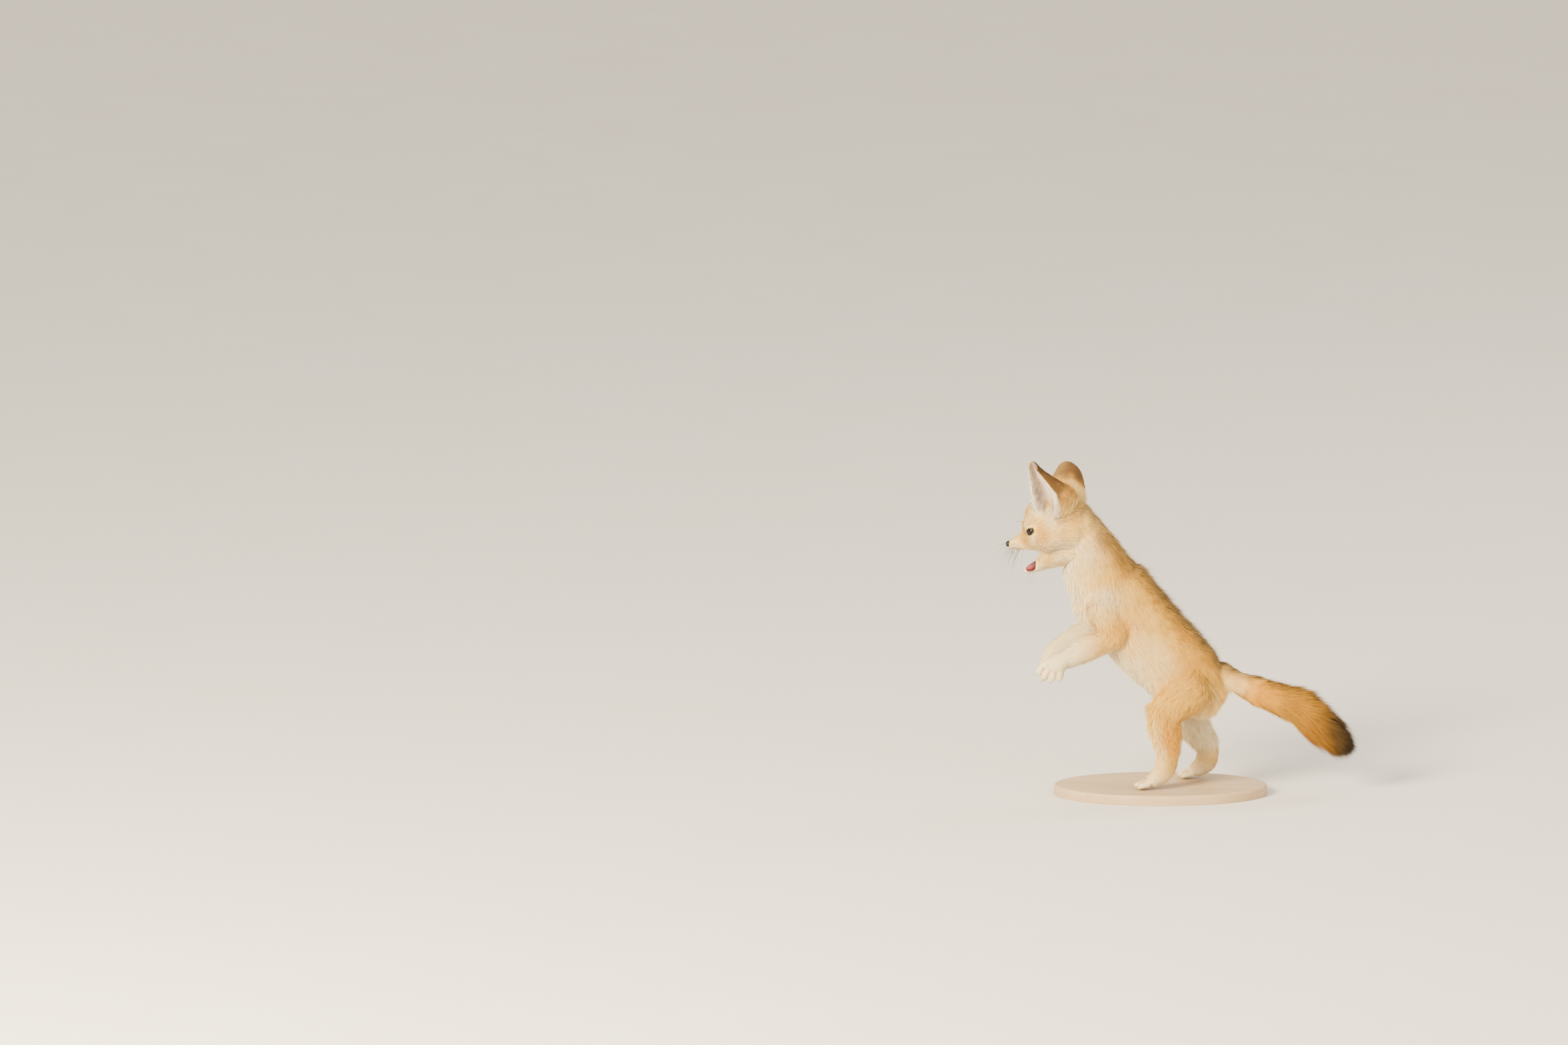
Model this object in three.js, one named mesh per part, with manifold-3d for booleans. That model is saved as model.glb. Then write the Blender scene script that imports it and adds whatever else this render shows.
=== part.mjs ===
// A fennec fox kit of about nine weeks, life size, rearing on its hind legs on a plain flat base.
// Millimetres, +Z up. The kit faces -Y and its left side is +X. The origin is the centre of the base's underside.
import * as THREE from "three";
import { mergeVertices } from "three/addons/utils/BufferGeometryUtils.js";
import Module from "manifold-3d";

const wasm = await Module();
wasm.setup();

// Clear gap between two meshes that touch
const GAP = 0.3;

// Base: an oval board with a rounded top edge
const BASE = { length: 212, width: 128, thick: 10, edge: 2.5 };

// Where the kit's own frame stands on the base: its soles are at z = 0 of that frame
const KIT_AT = [0, -12, BASE.thick + GAP];

// Head frame: middle of the skull, turned to the kit's right and tipped nose down
const HEAD_AT = [0, -89, 259];
const HEAD_YAW = THREE.MathUtils.degToRad(12);
const HEAD_PITCH = THREE.MathUtils.degToRad(15);

// Eyes, in the head frame: beside the root of the muzzle, looking out and forward
const EYE = { radius: 5.2, side: 15.7, front: 24, up: 4.2, lid: 1.1, long: 10, tall: 8.4 };
const GAZE_OUT = THREE.MathUtils.degToRad(60);
const EYE_CANT = THREE.MathUtils.degToRad(14);

// Ears, in the head frame: length from root to point, thickness at the root, and where the middle of the root sits
const EAR = { length: 65, thick: 2, side: 15.5, front: -3.5, up: 17, tipSlope: 11 };
// Lean of each ear, and how far its opening is turned from straight ahead towards its own side, root and point
const EAR_POSE = {
  left: { out: 0.42, back: 0, up: 0.91, turned: [54, 38] },
  right: { out: 0.82, back: 0.2, up: 0.52, turned: [72, 60] },
};
// Sections of an ear from root to point: half width across, half depth, and half the angle of its opening
const EAR_SECTIONS = [
  { across: 12.5, deep: 15.5, open: 30 },
  { across: 15, deep: 18, open: 44 },
  { across: 16.2, deep: 17, open: 57 },
  { across: 15.6, deep: 14.5, open: 66 },
  { across: 12.5, deep: 10.5, open: 74 },
  { across: 5, deep: 4, open: 80 },
];

// Toes and claws
const TOE = { radius: 3.5, length: 11 };
const CLAW = { radius: 1.1, length: 4.6 };

// Locks of the tail's brush. `core` is the share of the coat's outline that the solid core fills and `middle` the
// share that a lock reaches half way along; `rings` are the shares of the tail's length where rings of locks start,
// and `spacing` is the room that each lock of a ring takes round it.
const LOCK = {
  length: 38,
  thick: 3,
  core: 0.67,
  middle: 0.92,
  rings: [0.26, 0.4, 0.54, 0.67, 0.8],
  spacing: 17,
  seed: 11,
};

const v = (x, y, z) => new THREE.Vector3(x, y, z);

// Materials, coloured as the coat is in each place
const matte = (color, roughness = 0.9) => new THREE.MeshStandardMaterial({ color, roughness, metalness: 0 });
const coat = {
  golden: matte(0xd8aa62),
  cream: matte(0xeedfc0),
  earBack: matte(0xb98a58),
  tailTip: matte(0x3a2c20),
};
const nosePad = matte(0x1c1718, 0.45);
const eyeGlass = matte(0x140d08, 0.08);
const tongueSkin = matte(0xc4626a, 0.5);
const clawHorn = matte(0xb9a58c, 0.5);
const baseWood = matte(0xcbb392, 0.6);

// Numbers between 0 and 1 that are the same on every run
function seeded(seed) {
  let state = seed;
  return () => {
    state = (state * 1664525 + 1013904223) % 2 ** 32;
    return state / 2 ** 32;
  };
}

// Solid of a closed geometry: shared vertices are merged and faces that collapse at a pole are dropped
function solid(geometry) {
  const bare = new THREE.BufferGeometry().setAttribute("position", geometry.getAttribute("position"));
  bare.setIndex(geometry.index);
  const merged = mergeVertices(bare, 1e-4);
  const from = merged.index.array;
  const kept = [];
  for (let i = 0; i < from.length; i += 3) {
    const [a, b, c] = [from[i], from[i + 1], from[i + 2]];
    if (a !== b && b !== c && c !== a) kept.push(a, b, c);
  }
  const vertProperties = merged.attributes.position.array;
  return new wasm.Manifold(new wasm.Mesh({ numProp: 3, vertProperties, triVerts: new Uint32Array(kept) }));
}

// Geometry of a solid's largest closed surface
function geometryOf(made) {
  const [largest] = made.decompose().sort((a, b) => b.volume() - a.volume());
  const mesh = largest.getMesh();
  const points = new Float32Array(mesh.numVert * 3);
  for (let i = 0; i < mesh.numVert; i++) {
    points.set(mesh.vertProperties.subarray(i * mesh.numProp, i * mesh.numProp + 3), i * 3);
  }
  const geometry = new THREE.BufferGeometry().setAttribute("position", new THREE.BufferAttribute(points, 3));
  geometry.setIndex(new THREE.BufferAttribute(mesh.triVerts, 1));
  geometry.computeVertexNormals();
  return geometry;
}

const joined = (solids) => solids.reduce((sum, piece) => sum.add(piece));
const cut = (body, tools) => tools.reduce((left, tool) => left.subtract(tool), body);

// Closed body of oval rings threaded on a smooth curve. A station holds its middle `at`, its half width `wide`, and
// its reach towards `top` (`above`) and away from it (`below`), or `deep` for both. `caps` rounds the two
// ends and `grow` swells the whole body.
function loft(stations, { top, sides = 14, rings = 8, caps = [0.8, 0.8], capRows = 2, grow = 0 }) {
  const spine = new THREE.CatmullRomCurve3(stations.map((s) => v(...s.at)), false, "catmullrom");
  const reach = stations.map((s) => v(s.wide, s.above ?? s.deep, s.below ?? s.deep));
  const sizes = new THREE.CatmullRomCurve3(reach, false, "catmullrom");
  const rows = [];
  const addRow = (t, scale, slide) => {
    const along = spine.getTangent(t);
    const up = top.clone().addScaledVector(along, -top.dot(along)).normalize();
    const side = up.clone().cross(along);
    const size = sizes.getPoint(t);
    const depth = ((size.y + size.z) / 2 + grow) * slide;
    const middle = spine.getPoint(t).addScaledVector(along, depth);
    rows.push({ middle, side, up, scale, size });
  };
  for (let k = 1; k < capRows; k++) {
    const turn = (k / capRows) * (Math.PI / 2);
    addRow(0, Math.sin(turn), -caps[0] * Math.cos(turn));
  }
  for (let r = 0; r <= rings; r++) addRow(r / rings, 1, 0);
  for (let k = capRows - 1; k > 0; k--) {
    const turn = (k / capRows) * (Math.PI / 2);
    addRow(1, Math.sin(turn), caps[1] * Math.cos(turn));
  }
  const points = [];
  for (const { middle, side, up, scale, size } of rows) {
    for (let j = 0; j < sides; j++) {
      const turn = (j / sides) * 2 * Math.PI;
      const lift = (Math.sin(turn) > 0 ? size.y : size.z) + grow;
      const p = middle.clone().addScaledVector(side, (size.x + grow) * Math.cos(turn) * scale);
      points.push(...p.addScaledVector(up, lift * Math.sin(turn) * scale));
    }
  }
  const firstPole = points.length / 3;
  addRow(0, 0, -caps[0]);
  addRow(1, 0, caps[1]);
  points.push(...rows.at(-2).middle, ...rows.at(-1).middle);
  const rowCount = rows.length - 2;
  const faces = [];
  for (let j = 0; j < sides; j++) {
    const next = (j + 1) % sides;
    faces.push(firstPole, next, j);
    for (let r = 0; r < rowCount - 1; r++) {
      const [a, b] = [r * sides + j, r * sides + next];
      faces.push(a, b, b + sides, a, b + sides, a + sides);
    }
    faces.push((rowCount - 1) * sides + j, (rowCount - 1) * sides + next, firstPole + 1);
  }
  const geometry = new THREE.BufferGeometry();
  geometry.setAttribute("position", new THREE.Float32BufferAttribute(points, 3));
  geometry.setIndex(faces);
  return geometry;
}

// Egg-shaped body: `radii` along x, y and z
function ball(at, radii, around = 16, down = 10) {
  const geometry = new THREE.SphereGeometry(1, around, down);
  return geometry.scale(...radii).translate(...at);
}

// Pushes a surface out or in at named places, fading to nothing at `reach`
function sculpt(geometry, pushes) {
  const place = geometry.getAttribute("position");
  for (let i = 0; i < place.count; i++) {
    const rest = v(0, 0, 0).fromBufferAttribute(place, i);
    const moved = rest.clone();
    for (const { at, reach, by } of pushes) {
      const share = rest.distanceTo(v(...at)) / reach;
      if (share < 1) moved.addScaledVector(v(...by), (1 - share * share) ** 2);
    }
    place.setXYZ(i, moved.x, moved.y, moved.z);
  }
  return geometry;
}

const bothSides = (pushes) =>
  pushes.flatMap(({ at, reach, by }) => [
    { at, reach, by },
    { at: [-at[0], at[1], at[2]], reach, by: [-by[0], by[1], by[2]] },
  ]);

// Frame of the head in the kit's frame
const headMatrix = new THREE.Matrix4()
  .makeTranslation(...HEAD_AT)
  .multiply(new THREE.Matrix4().makeRotationZ(-HEAD_YAW))
  .multiply(new THREE.Matrix4().makeRotationX(HEAD_PITCH));
const inKit = (geometry) => geometry.clone().applyMatrix4(headMatrix);

// Trunk, from the rump up to the shoulders
function trunkShape(grow) {
  const stations = [
    { at: [0, 56, 84], wide: 22, above: 27, below: 22 },
    { at: [0, 37, 101], wide: 28.5, above: 36.5, below: 30 },
    { at: [0, 17, 119], wide: 30.5, above: 40.5, below: 32 },
    { at: [0, -1, 136], wide: 31, above: 42.5, below: 33 },
    { at: [0, -18, 154], wide: 31, above: 44, below: 33 },
    { at: [0, -35, 172], wide: 29.5, above: 46, below: 33 },
    { at: [0, -48, 190], wide: 27.5, above: 46, below: 32 },
  ];
  return loft(stations, { top: v(0, 0.71, 0.7), sides: 22, rings: 12, caps: [0.5, 0.5], capRows: 3, grow });
}

// Neck, deep with the loose coat of a kit
function neckShape(grow) {
  const stations = [
    { at: [0, -49, 190], wide: 26.5, above: 45, below: 30 },
    { at: [0, -58, 212], wide: 26.5, above: 41, below: 31 },
    { at: [0, -64, 236], wide: 25, above: 31, below: 29 },
    { at: [0, -70, 256], wide: 23, above: 22, below: 24 },
    { at: [0, -76, 270], wide: 18, above: 16, below: 20 },
  ];
  return loft(stations, { top: v(0, 1, 0.35), sides: 18, rings: 9, caps: [0.3, 0.5], grow });
}

// Skull, cheeks and upper muzzle, from the nape to the nose, in the head frame
function headShape(grow) {
  const stations = [
    { at: [0, 24, 0], wide: 18, above: 19.5, below: 17.5 },
    { at: [0, 16, 0], wide: 25, above: 27, below: 23.5 },
    { at: [0, 5, -1], wide: 29, above: 31, below: 26 },
    { at: [0, -8, -2], wide: 30, above: 32.5, below: 25 },
    { at: [0, -18, -3], wide: 27, above: 32, below: 20.5 },
    { at: [0, -26, -4], wide: 21.5, above: 28, below: 16 },
    { at: [0, -32, -5], wide: 16, above: 19, below: 12.5 },
    { at: [0, -38, -6], wide: 11.8, above: 11.5, below: 10 },
    { at: [0, -45, -6.8], wide: 8.8, above: 8.2, below: 7.4 },
    { at: [0, -50.5, -6.2], wide: 6.6, above: 6, below: 5.6 },
    { at: [0, -54, -5.6], wide: 4.6, above: 4.2, below: 4.6 },
  ];
  const shape = loft(stations, { top: v(0, 0, 1), sides: 22, rings: 17, caps: [0.5, 0.35], capRows: 3, grow });
  const forms = [
    // hollow before the inner corner of the eye
    { at: [8.5, -36, 3], reach: 6, by: [-1.6, 1.2, 0] },
    // brow over the eye
    { at: [12, -29, 12], reach: 7, by: [1, -1.4, 0.6] },
    // cheek
    { at: [25, -12, -14], reach: 17, by: [3.2, -1, -1.5] },
    // lower edge of the cheek, drawn in
    { at: [25, -6, -24], reach: 15, by: [-5, 0, 3] },
    // pad that carries the whiskers
    { at: [7.5, -47, -9], reach: 6, by: [1.5, -0.4, -0.6] },
  ];
  // dip where the forehead meets the muzzle
  const stop = { at: [0, -35.5, 6], reach: 7, by: [0, 1.8, -1.2] };
  return sculpt(shape, [...bothSides(forms), stop]);
}

// Lower jaw, open, from the throat to the chin, in the head frame
function jawShape(grow) {
  const stations = [
    { at: [0, 8, -24], wide: 20, above: 10, below: 10 },
    { at: [0, -6, -25], wide: 20.5, above: 12, below: 12.5 },
    { at: [0, -18, -27], wide: 17, above: 10.5, below: 11.5 },
    { at: [0, -28, -30.5], wide: 12.5, above: 8.6, below: 8.8 },
    { at: [0, -36, -33], wide: 8.8, above: 6, below: 6.3 },
    { at: [0, -42.5, -34.6], wide: 6, above: 3.9, below: 4 },
    { at: [0, -46.5, -35], wide: 3.8, above: 2.4, below: 2.4 },
  ];
  return loft(stations, { top: v(0, 0, 1), sides: 18, rings: 11, caps: [0.6, 0.6], grow });
}

// Fold of the cheek stretched between the open jaws at the corner of the mouth, in the head frame
function cheekShape(side) {
  const stations = [
    { at: [side * 13, -17.5, -13], wide: 3, deep: 7 },
    { at: [side * 12, -19.5, -19], wide: 2.8, deep: 7 },
    { at: [side * 11.2, -21.5, -24.5], wide: 2.6, deep: 6.5 },
    { at: [side * 9.8, -23.4, -30], wide: 2.6, deep: 5.2 },
  ];
  return loft(stations, { top: v(0, -1, 0), sides: 8, rings: 3, caps: [0.3, 0.3], capRows: 1 });
}

// Room over the lower lips, which hang open at the front and show the tongue, in the head frame
const lipRoom = (grow) => ball([0, -37.6, -28.5], [14 + grow, 8.6 + grow, 8.4 + grow], 14, 8);

// Hollow of the mouth between the lips of both jaws, in the head frame
function mouthShape(grow) {
  const stations = [
    { at: [0, -15, -21], wide: 6, above: 3, below: 2.5 },
    { at: [0, -24, -21.5], wide: 8.6, above: 6, below: 4 },
    { at: [0, -33, -22], wide: 7.4, above: 8.6, below: 7.2 },
    { at: [0, -41, -22.5], wide: 5.2, above: 11.6, below: 10 },
    { at: [0, -46, -23], wide: 4.2, above: 12.6, below: 10.4 },
  ];
  return loft(stations, { top: v(0, 0, 1), sides: 12, rings: 6, caps: [0.5, 0.12], grow });
}

// Tongue lying in the lower jaw, in the head frame
function tongueShape() {
  const stations = [
    { at: [0, -19, -23.8], wide: 4.6, deep: 2 },
    { at: [0, -28, -28], wide: 5, above: 2.6, below: 4 },
    { at: [0, -34, -31.2], wide: 5, above: 3.4, below: 4.4 },
    { at: [0, -39, -32.8], wide: 4.4, above: 3.4, below: 3 },
    { at: [0, -42.6, -33.4], wide: 2.4, above: 2.4, below: 1.8 },
  ];
  return loft(stations, { top: v(0, 0, 1), sides: 8, rings: 6, caps: [0.5, 0.6] });
}

const tongueSolid = () => solid(tongueShape()).intersect(joined([solid(mouthShape(-GAP)), solid(lipRoom(-GAP))]));

// Milk canine: root, direction of the point and length, in the head frame
function canine(root, point, length) {
  const [x, y, z] = root;
  const end = [x + point[0] * length, y + point[1] * length, z + point[2] * length];
  const middle = [(x + end[0]) / 2, (y + end[1]) / 2 - 0.3, (z + end[2]) / 2];
  const stations = [
    { at: root, wide: 0.85, deep: 0.85 },
    { at: middle, wide: 0.65, deep: 0.65 },
    { at: end, wide: 0.25, deep: 0.25 },
  ];
  return loft(stations, { top: v(0, -1, 0), sides: 5, rings: 2, caps: [0.6, 0.8], capRows: 1 });
}

// Frame at an eye: z looks out along the gaze, x runs from the inner to the outer corner
function eyeMatrix(side) {
  const gaze = v(side * Math.sin(GAZE_OUT), -Math.cos(GAZE_OUT), 0.06).normalize();
  const level = v(0, 0, 1).cross(gaze).normalize();
  const corner = level.clone().multiplyScalar(side).applyAxisAngle(gaze, side * EYE_CANT);
  const upward = gaze.clone().cross(corner);
  const turn = new THREE.Matrix4().makeBasis(corner, upward, gaze);
  return turn.setPosition(side * EYE.side, -EYE.front, EYE.up);
}

const eyeballShape = (side, radius) => ball([0, 0, 0], [radius, radius, radius], 12, 8).applyMatrix4(eyeMatrix(side));

// Almond opening between the lids, run outwards along the gaze
function lidOpening(side) {
  const [half, rise] = [EYE.long / 2, EYE.tall / 2];
  const almond = new THREE.Shape();
  almond.moveTo(-half, 0);
  almond.bezierCurveTo(-half * 0.55, -rise * 1.15, half * 0.55, -rise * 1.35, half, 0);
  almond.bezierCurveTo(half * 0.55, rise * 1.35, -half * 0.55, rise * 1.35, -half, 0);
  const geometry = new THREE.ExtrudeGeometry(almond, { depth: 12, bevelEnabled: false, curveSegments: 5 });
  return geometry.applyMatrix4(eyeMatrix(side));
}

// Head with its mouth, eye sockets, lids and upper canines, in the head frame
function headSolid() {
  const sides = [1, -1];
  const skull = solid(headShape(0));
  const lids = sides.map((s) => solid(eyeballShape(s, EYE.radius + GAP + EYE.lid)));
  const sockets = sides.map((s) => solid(eyeballShape(s, EYE.radius + GAP)));
  const openings = sides.map((s) => solid(lidOpening(s)));
  const carved = cut(joined([skull, ...lids]), [...sockets, ...openings, solid(mouthShape(0))]);
  const canines = sides.map((s) => solid(canine([s * 4.3, -48, -10.2], [s * 0.08, -0.12, -0.98], 3.6)));
  return joined([carved, ...canines]);
}

// Lower jaw with the folds of the cheeks, its trough and lower canines, in the head frame
function jawSolid() {
  const whole = joined([solid(jawShape(0)), ...[1, -1].map((s) => solid(cheekShape(s)))]);
  const carved = cut(whole, [solid(headShape(GAP)), solid(mouthShape(0)), solid(lipRoom(0))]);
  const canines = [1, -1].map((s) => solid(canine([s * 3.9, -43.4, -34.9], [s * 0.1, -0.3, 0.94], 3.4)));
  return joined([carved, ...canines]);
}

// Nose pad with its two nostrils, in the head frame
function noseSolid() {
  const pad = solid(ball([0, -54.6, -4.9], [3.9, 3, 3.1], 12, 8));
  const nostrils = [1, -1].flatMap((s) => [
    solid(ball([s * 1.75, -57.3, -4.9], [0.85, 1.1, 0.95], 8, 4)),
    solid(ball([s * 2.9, -56.4, -5.6], [1.1, 1.1, 0.45], 8, 4)),
  ]);
  return cut(pad, [solid(headShape(GAP)), ...nostrils]);
}

// Ear: a thin sheet that opens from a rolled root to a deep cup with a rounded point, in the head frame.
// `side` is 1 for the left ear.
function earShape(side, pose) {
  const [ROWS, COLUMNS] = [12, 12];
  const axis = v(side * pose.out, pose.back, pose.up).normalize();
  const ahead = v(0, -1, 0);
  ahead.addScaledVector(axis, -ahead.dot(axis)).normalize();
  const outer = ahead.clone().cross(axis).multiplyScalar(-side);
  const root = v(side * EAR.side, -EAR.front, EAR.up);
  const sections = EAR_SECTIONS.map((s) => v(s.across, s.deep, THREE.MathUtils.degToRad(s.open)));
  const sizes = new THREE.CatmullRomCurve3(sections, false, "catmullrom");
  // point of the middle surface: t from root to point, s from the inner edge (-1) to the outer edge (1)
  const place = (t, s) => {
    const { x: across, y: deep, z: open } = sizes.getPoint(t);
    const turned = THREE.MathUtils.degToRad(THREE.MathUtils.lerp(...pose.turned, t));
    const turn = turned + Math.PI - s * (Math.PI - open);
    // the outer edge ends lower than the inner one, which carries the point
    const dip = 2.5 * s * s * Math.sin(Math.PI * t) + EAR.tipSlope * t ** 3 * ((1 + s) / 2);
    return root
      .clone()
      .addScaledVector(axis, t * EAR.length - dip)
      .addScaledVector(outer, across * Math.sin(turn))
      .addScaledVector(ahead, deep * Math.cos(turn) + 4 * t * t);
  };
  const outward = (t, s) => {
    const step = 0.01;
    const alongRow = place(Math.min(1, t + step), s).sub(place(Math.max(0, t - step), s));
    const alongColumn = place(t, Math.min(1, s + step)).sub(place(t, Math.max(-1, s - step)));
    return alongRow.cross(alongColumn).normalize().multiplyScalar(side);
  };
  const points = [];
  for (const face of [0.5, -0.5]) {
    for (let r = 0; r <= ROWS; r++) {
      for (let c = 0; c <= COLUMNS; c++) {
        const [t, s] = [r / ROWS, (c / COLUMNS) * 2 - 1];
        const thick = EAR.thick * (1 - 0.4 * t);
        points.push(...place(t, s).addScaledVector(outward(t, s), face * thick));
      }
    }
  }
  const row = COLUMNS + 1;
  const sheet = row * (ROWS + 1);
  const faces = [];
  // two triangles on the path a, b, c, d; a right ear runs the other way round
  const quad = (a, b, c, d) => faces.push(...(side > 0 ? [a, b, c, a, c, d] : [a, c, b, a, d, c]));
  for (let r = 0; r < ROWS; r++) {
    for (let c = 0; c < COLUMNS; c++) {
      const a = r * row + c;
      quad(a, a + row, a + row + 1, a + 1);
      quad(a + sheet, a + sheet + 1, a + sheet + row + 1, a + sheet + row);
    }
    const [first, last] = [r * row, r * row + COLUMNS];
    quad(first, first + sheet, first + sheet + row, first + row);
    quad(last, last + row, last + row + sheet, last + sheet);
  }
  for (let c = 0; c < COLUMNS; c++) {
    const [low, high] = [c, ROWS * row + c];
    quad(low, low + 1, low + 1 + sheet, low + sheet);
    quad(high, high + sheet, high + sheet + 1, high + 1);
  }
  const geometry = new THREE.BufferGeometry();
  geometry.setAttribute("position", new THREE.Float32BufferAttribute(points, 3));
  geometry.setIndex(faces);
  return geometry;
}

// Four toes spread across a paw and their claws. `from` is the end of the paw, `along` points down the toes and
// `across` runs from toe to toe; `droop` is the bend at the tips.
function toeShapes({ from, along, across, fan, droop, scale, grow = 0 }) {
  const radius = TOE.radius * scale;
  return [-1.5, -0.5, 0.5, 1.5].map((place) => {
    const point = along.clone().addScaledVector(across, place * fan).normalize();
    const reach = TOE.length * scale * (Math.abs(place) < 1 ? 1.12 : 0.9);
    const root = from.clone().addScaledVector(across, place * radius * 1.35).addScaledVector(point, -3);
    const tip = root.clone().addScaledVector(point, reach).add(droop);
    const middle = root.clone().lerp(tip, 0.55).addScaledVector(droop, -0.35);
    const top = across.clone().cross(point);
    const stations = [
      { at: [...root], wide: radius * 0.9, deep: radius * 0.95 },
      { at: [...middle], wide: radius, deep: radius * 1.05 },
      { at: [...tip], wide: radius * 0.84, deep: radius * 0.8 },
    ];
    return { geometry: loft(stations, { top, sides: 6, rings: 2, caps: [0.6, 0.75], grow }), tip, point, top };
  });
}

// Curved horny claw growing from the tip of a toe
function clawShape({ tip, point, top }) {
  const middle = tip.clone().addScaledVector(point, CLAW.length * 0.5).addScaledVector(top, 0.9);
  const end = tip.clone().addScaledVector(point, CLAW.length).addScaledVector(top, -0.3);
  const stations = [
    { at: [...tip.clone().addScaledVector(top, 0.8)], wide: CLAW.radius * 0.8, deep: CLAW.radius },
    { at: [...middle], wide: CLAW.radius * 0.65, deep: CLAW.radius * 0.85 },
    { at: [...end], wide: 0.28, deep: 0.3 },
  ];
  return loft(stations, { top, sides: 5, rings: 2, caps: [0.3, 0.8], capRows: 1 });
}

// Stations of a limb from its points and, for each, half width and reach forward and back
const limbStations = (points, sizes) =>
  points.map((at, i) => ({ at, wide: sizes[i][0], above: sizes[i][1], below: sizes[i][2] ?? sizes[i][1] }));

// One foreleg: upper arm from shoulder to elbow, forearm to the wrist, paw hanging with spread toes
const FORELEG = {
  left: {
    upper: [[12, -36, 206], [20, -48, 187], [24.5, -43, 171], [26.5, -34, 158]],
    lower: [[26.5, -36, 157], [27, -59, 143], [26.5, -82, 130.5]],
    paw: [[26.5, -81, 131], [28.5, -90, 127.5], [30, -96.6, 122.8]],
    along: v(0.14, -0.42, -0.9).normalize(),
    across: v(-0.3, -0.94, 0.2).normalize(),
  },
  right: {
    upper: [[-12, -36, 206], [-20, -49, 188], [-24.5, -46, 173], [-26, -41, 160]],
    lower: [[-26, -44, 159], [-25.5, -71, 142], [-24, -95, 128]],
    paw: [[-24, -95, 128.5], [-25, -98, 120], [-25.5, -100.5, 113]],
    along: v(-0.08, -0.42, -0.9).normalize(),
    across: v(-1, 0, 0.09).normalize(),
  },
};

// One hind leg: thigh to the knee, shank to the hock, long foot to the ball; the right one stands further back
const HINDLEG = {
  left: {
    thigh: [[19, 45, 106], [25, 27, 93], [28, 11, 78]],
    shank: [[28, 11, 80], [28.5, 15, 58], [28, 18.5, 36]],
    foot: [[28, 18, 36], [28.5, 13, 20], [29, 3, 8.5]],
    toes: v(29, -3.5, 5.4),
  },
  right: {
    thigh: [[-19, 46, 104], [-25, 40, 88], [-27, 34, 72]],
    shank: [[-27, 34, 74], [-27.5, 45, 53], [-27.5, 59.5, 32]],
    foot: [[-27.5, 59.5, 32], [-27.5, 56, 18], [-27.5, 47, 8.5]],
    toes: v(-27.5, 41, 5.4),
  },
};
const UPPER_ARM_SIZES = [[11, 16], [14, 17, 20], [12.5, 14.5, 16], [10.5, 12.5]];
const FOREARM_SIZES = [[10.2, 11.8], [9, 11.2], [7.6, 9]];
const FOREPAW_SIZES = [[7.8, 8.6], [10.4, 8.4], [11, 7.4]];
const THIGH_SIZES = [[18, 26, 27], [16, 22, 26], [12.2, 13, 19]];
const SHANK_SIZES = [[11.8, 12.5, 17.5], [10.5, 13, 15], [8.4, 10, 11]];
const HINDFOOT_SIZES = [[8, 9.5, 11], [8, 8.5, 12], [8.6, 6.5, 8]];

// Claws of a paw, each cut clear of its toes
function clawSolids(toes) {
  const clear = toeShapes({ ...toes, grow: GAP }).map((toe) => solid(toe.geometry));
  return toeShapes(toes).map((toe) => solid(clawShape(toe)).subtract(joined(clear)));
}

function forelegSolids({ upper, lower, paw, along, across }, body) {
  const ahead = v(0, -1, 0.2);
  const upperArm = (grow) =>
    loft(limbStations(upper, UPPER_ARM_SIZES), { top: ahead, caps: [0.6, 0.8], grow });
  const forearm = (grow) =>
    loft(limbStations(lower, FOREARM_SIZES), { top: v(0, 0, 1), caps: [0.7, 0.4], grow });
  const pawTop = across.clone().cross(along);
  const palm = loft(limbStations(paw, FOREPAW_SIZES), { top: pawTop, sides: 12, rings: 4, caps: [0.6, 0.6] });
  const droop = pawTop.clone().multiplyScalar(-1.2);
  const toes = { from: v(...paw[2]), along, across, fan: 0.2, droop, scale: 1.24 };
  const pawSolid = joined([solid(palm), ...toeShapes(toes).map((toe) => solid(toe.geometry))]);
  return {
    upperArm: cut(solid(upperArm(0)), body),
    forearm: cut(solid(forearm(0)), [solid(upperArm(GAP)), ...body]),
    paw: cut(pawSolid, [solid(forearm(GAP)), solid(upperArm(GAP))]),
    claws: clawSolids(toes),
  };
}

function hindlegSolids({ thigh, shank, foot, toes: from }, body) {
  const ahead = v(0, -1, 0.3);
  const thighShape = (grow) =>
    loft(limbStations(thigh, THIGH_SIZES), { top: ahead, sides: 14, caps: [0.4, 0.7], grow });
  const shankShape = (grow) =>
    loft(limbStations(shank, SHANK_SIZES), { top: ahead, caps: [0.6, 0.4], grow });
  const sole = loft(limbStations(foot, HINDFOOT_SIZES), { top: v(0, -1, 1), sides: 12, rings: 5, caps: [0.6, 0.5] });
  const toes = { from, along: v(0, -1, 0), across: v(-1, 0, 0), fan: 0.1, droop: v(0, 0, -1.9), scale: 1 };
  const whole = joined([solid(sole), ...toeShapes(toes).map((toe) => solid(toe.geometry))]);
  const belowSole = new THREE.BoxGeometry(60, 90, 20).translate(from.x, from.y + 20, -10);
  return {
    thigh: cut(solid(thighShape(0)), body),
    shank: cut(solid(shankShape(0)), [solid(thighShape(GAP)), ...body]),
    foot: cut(whole, [solid(shankShape(GAP)), solid(belowSole)]),
    claws: clawSolids(toes),
  };
}

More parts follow.
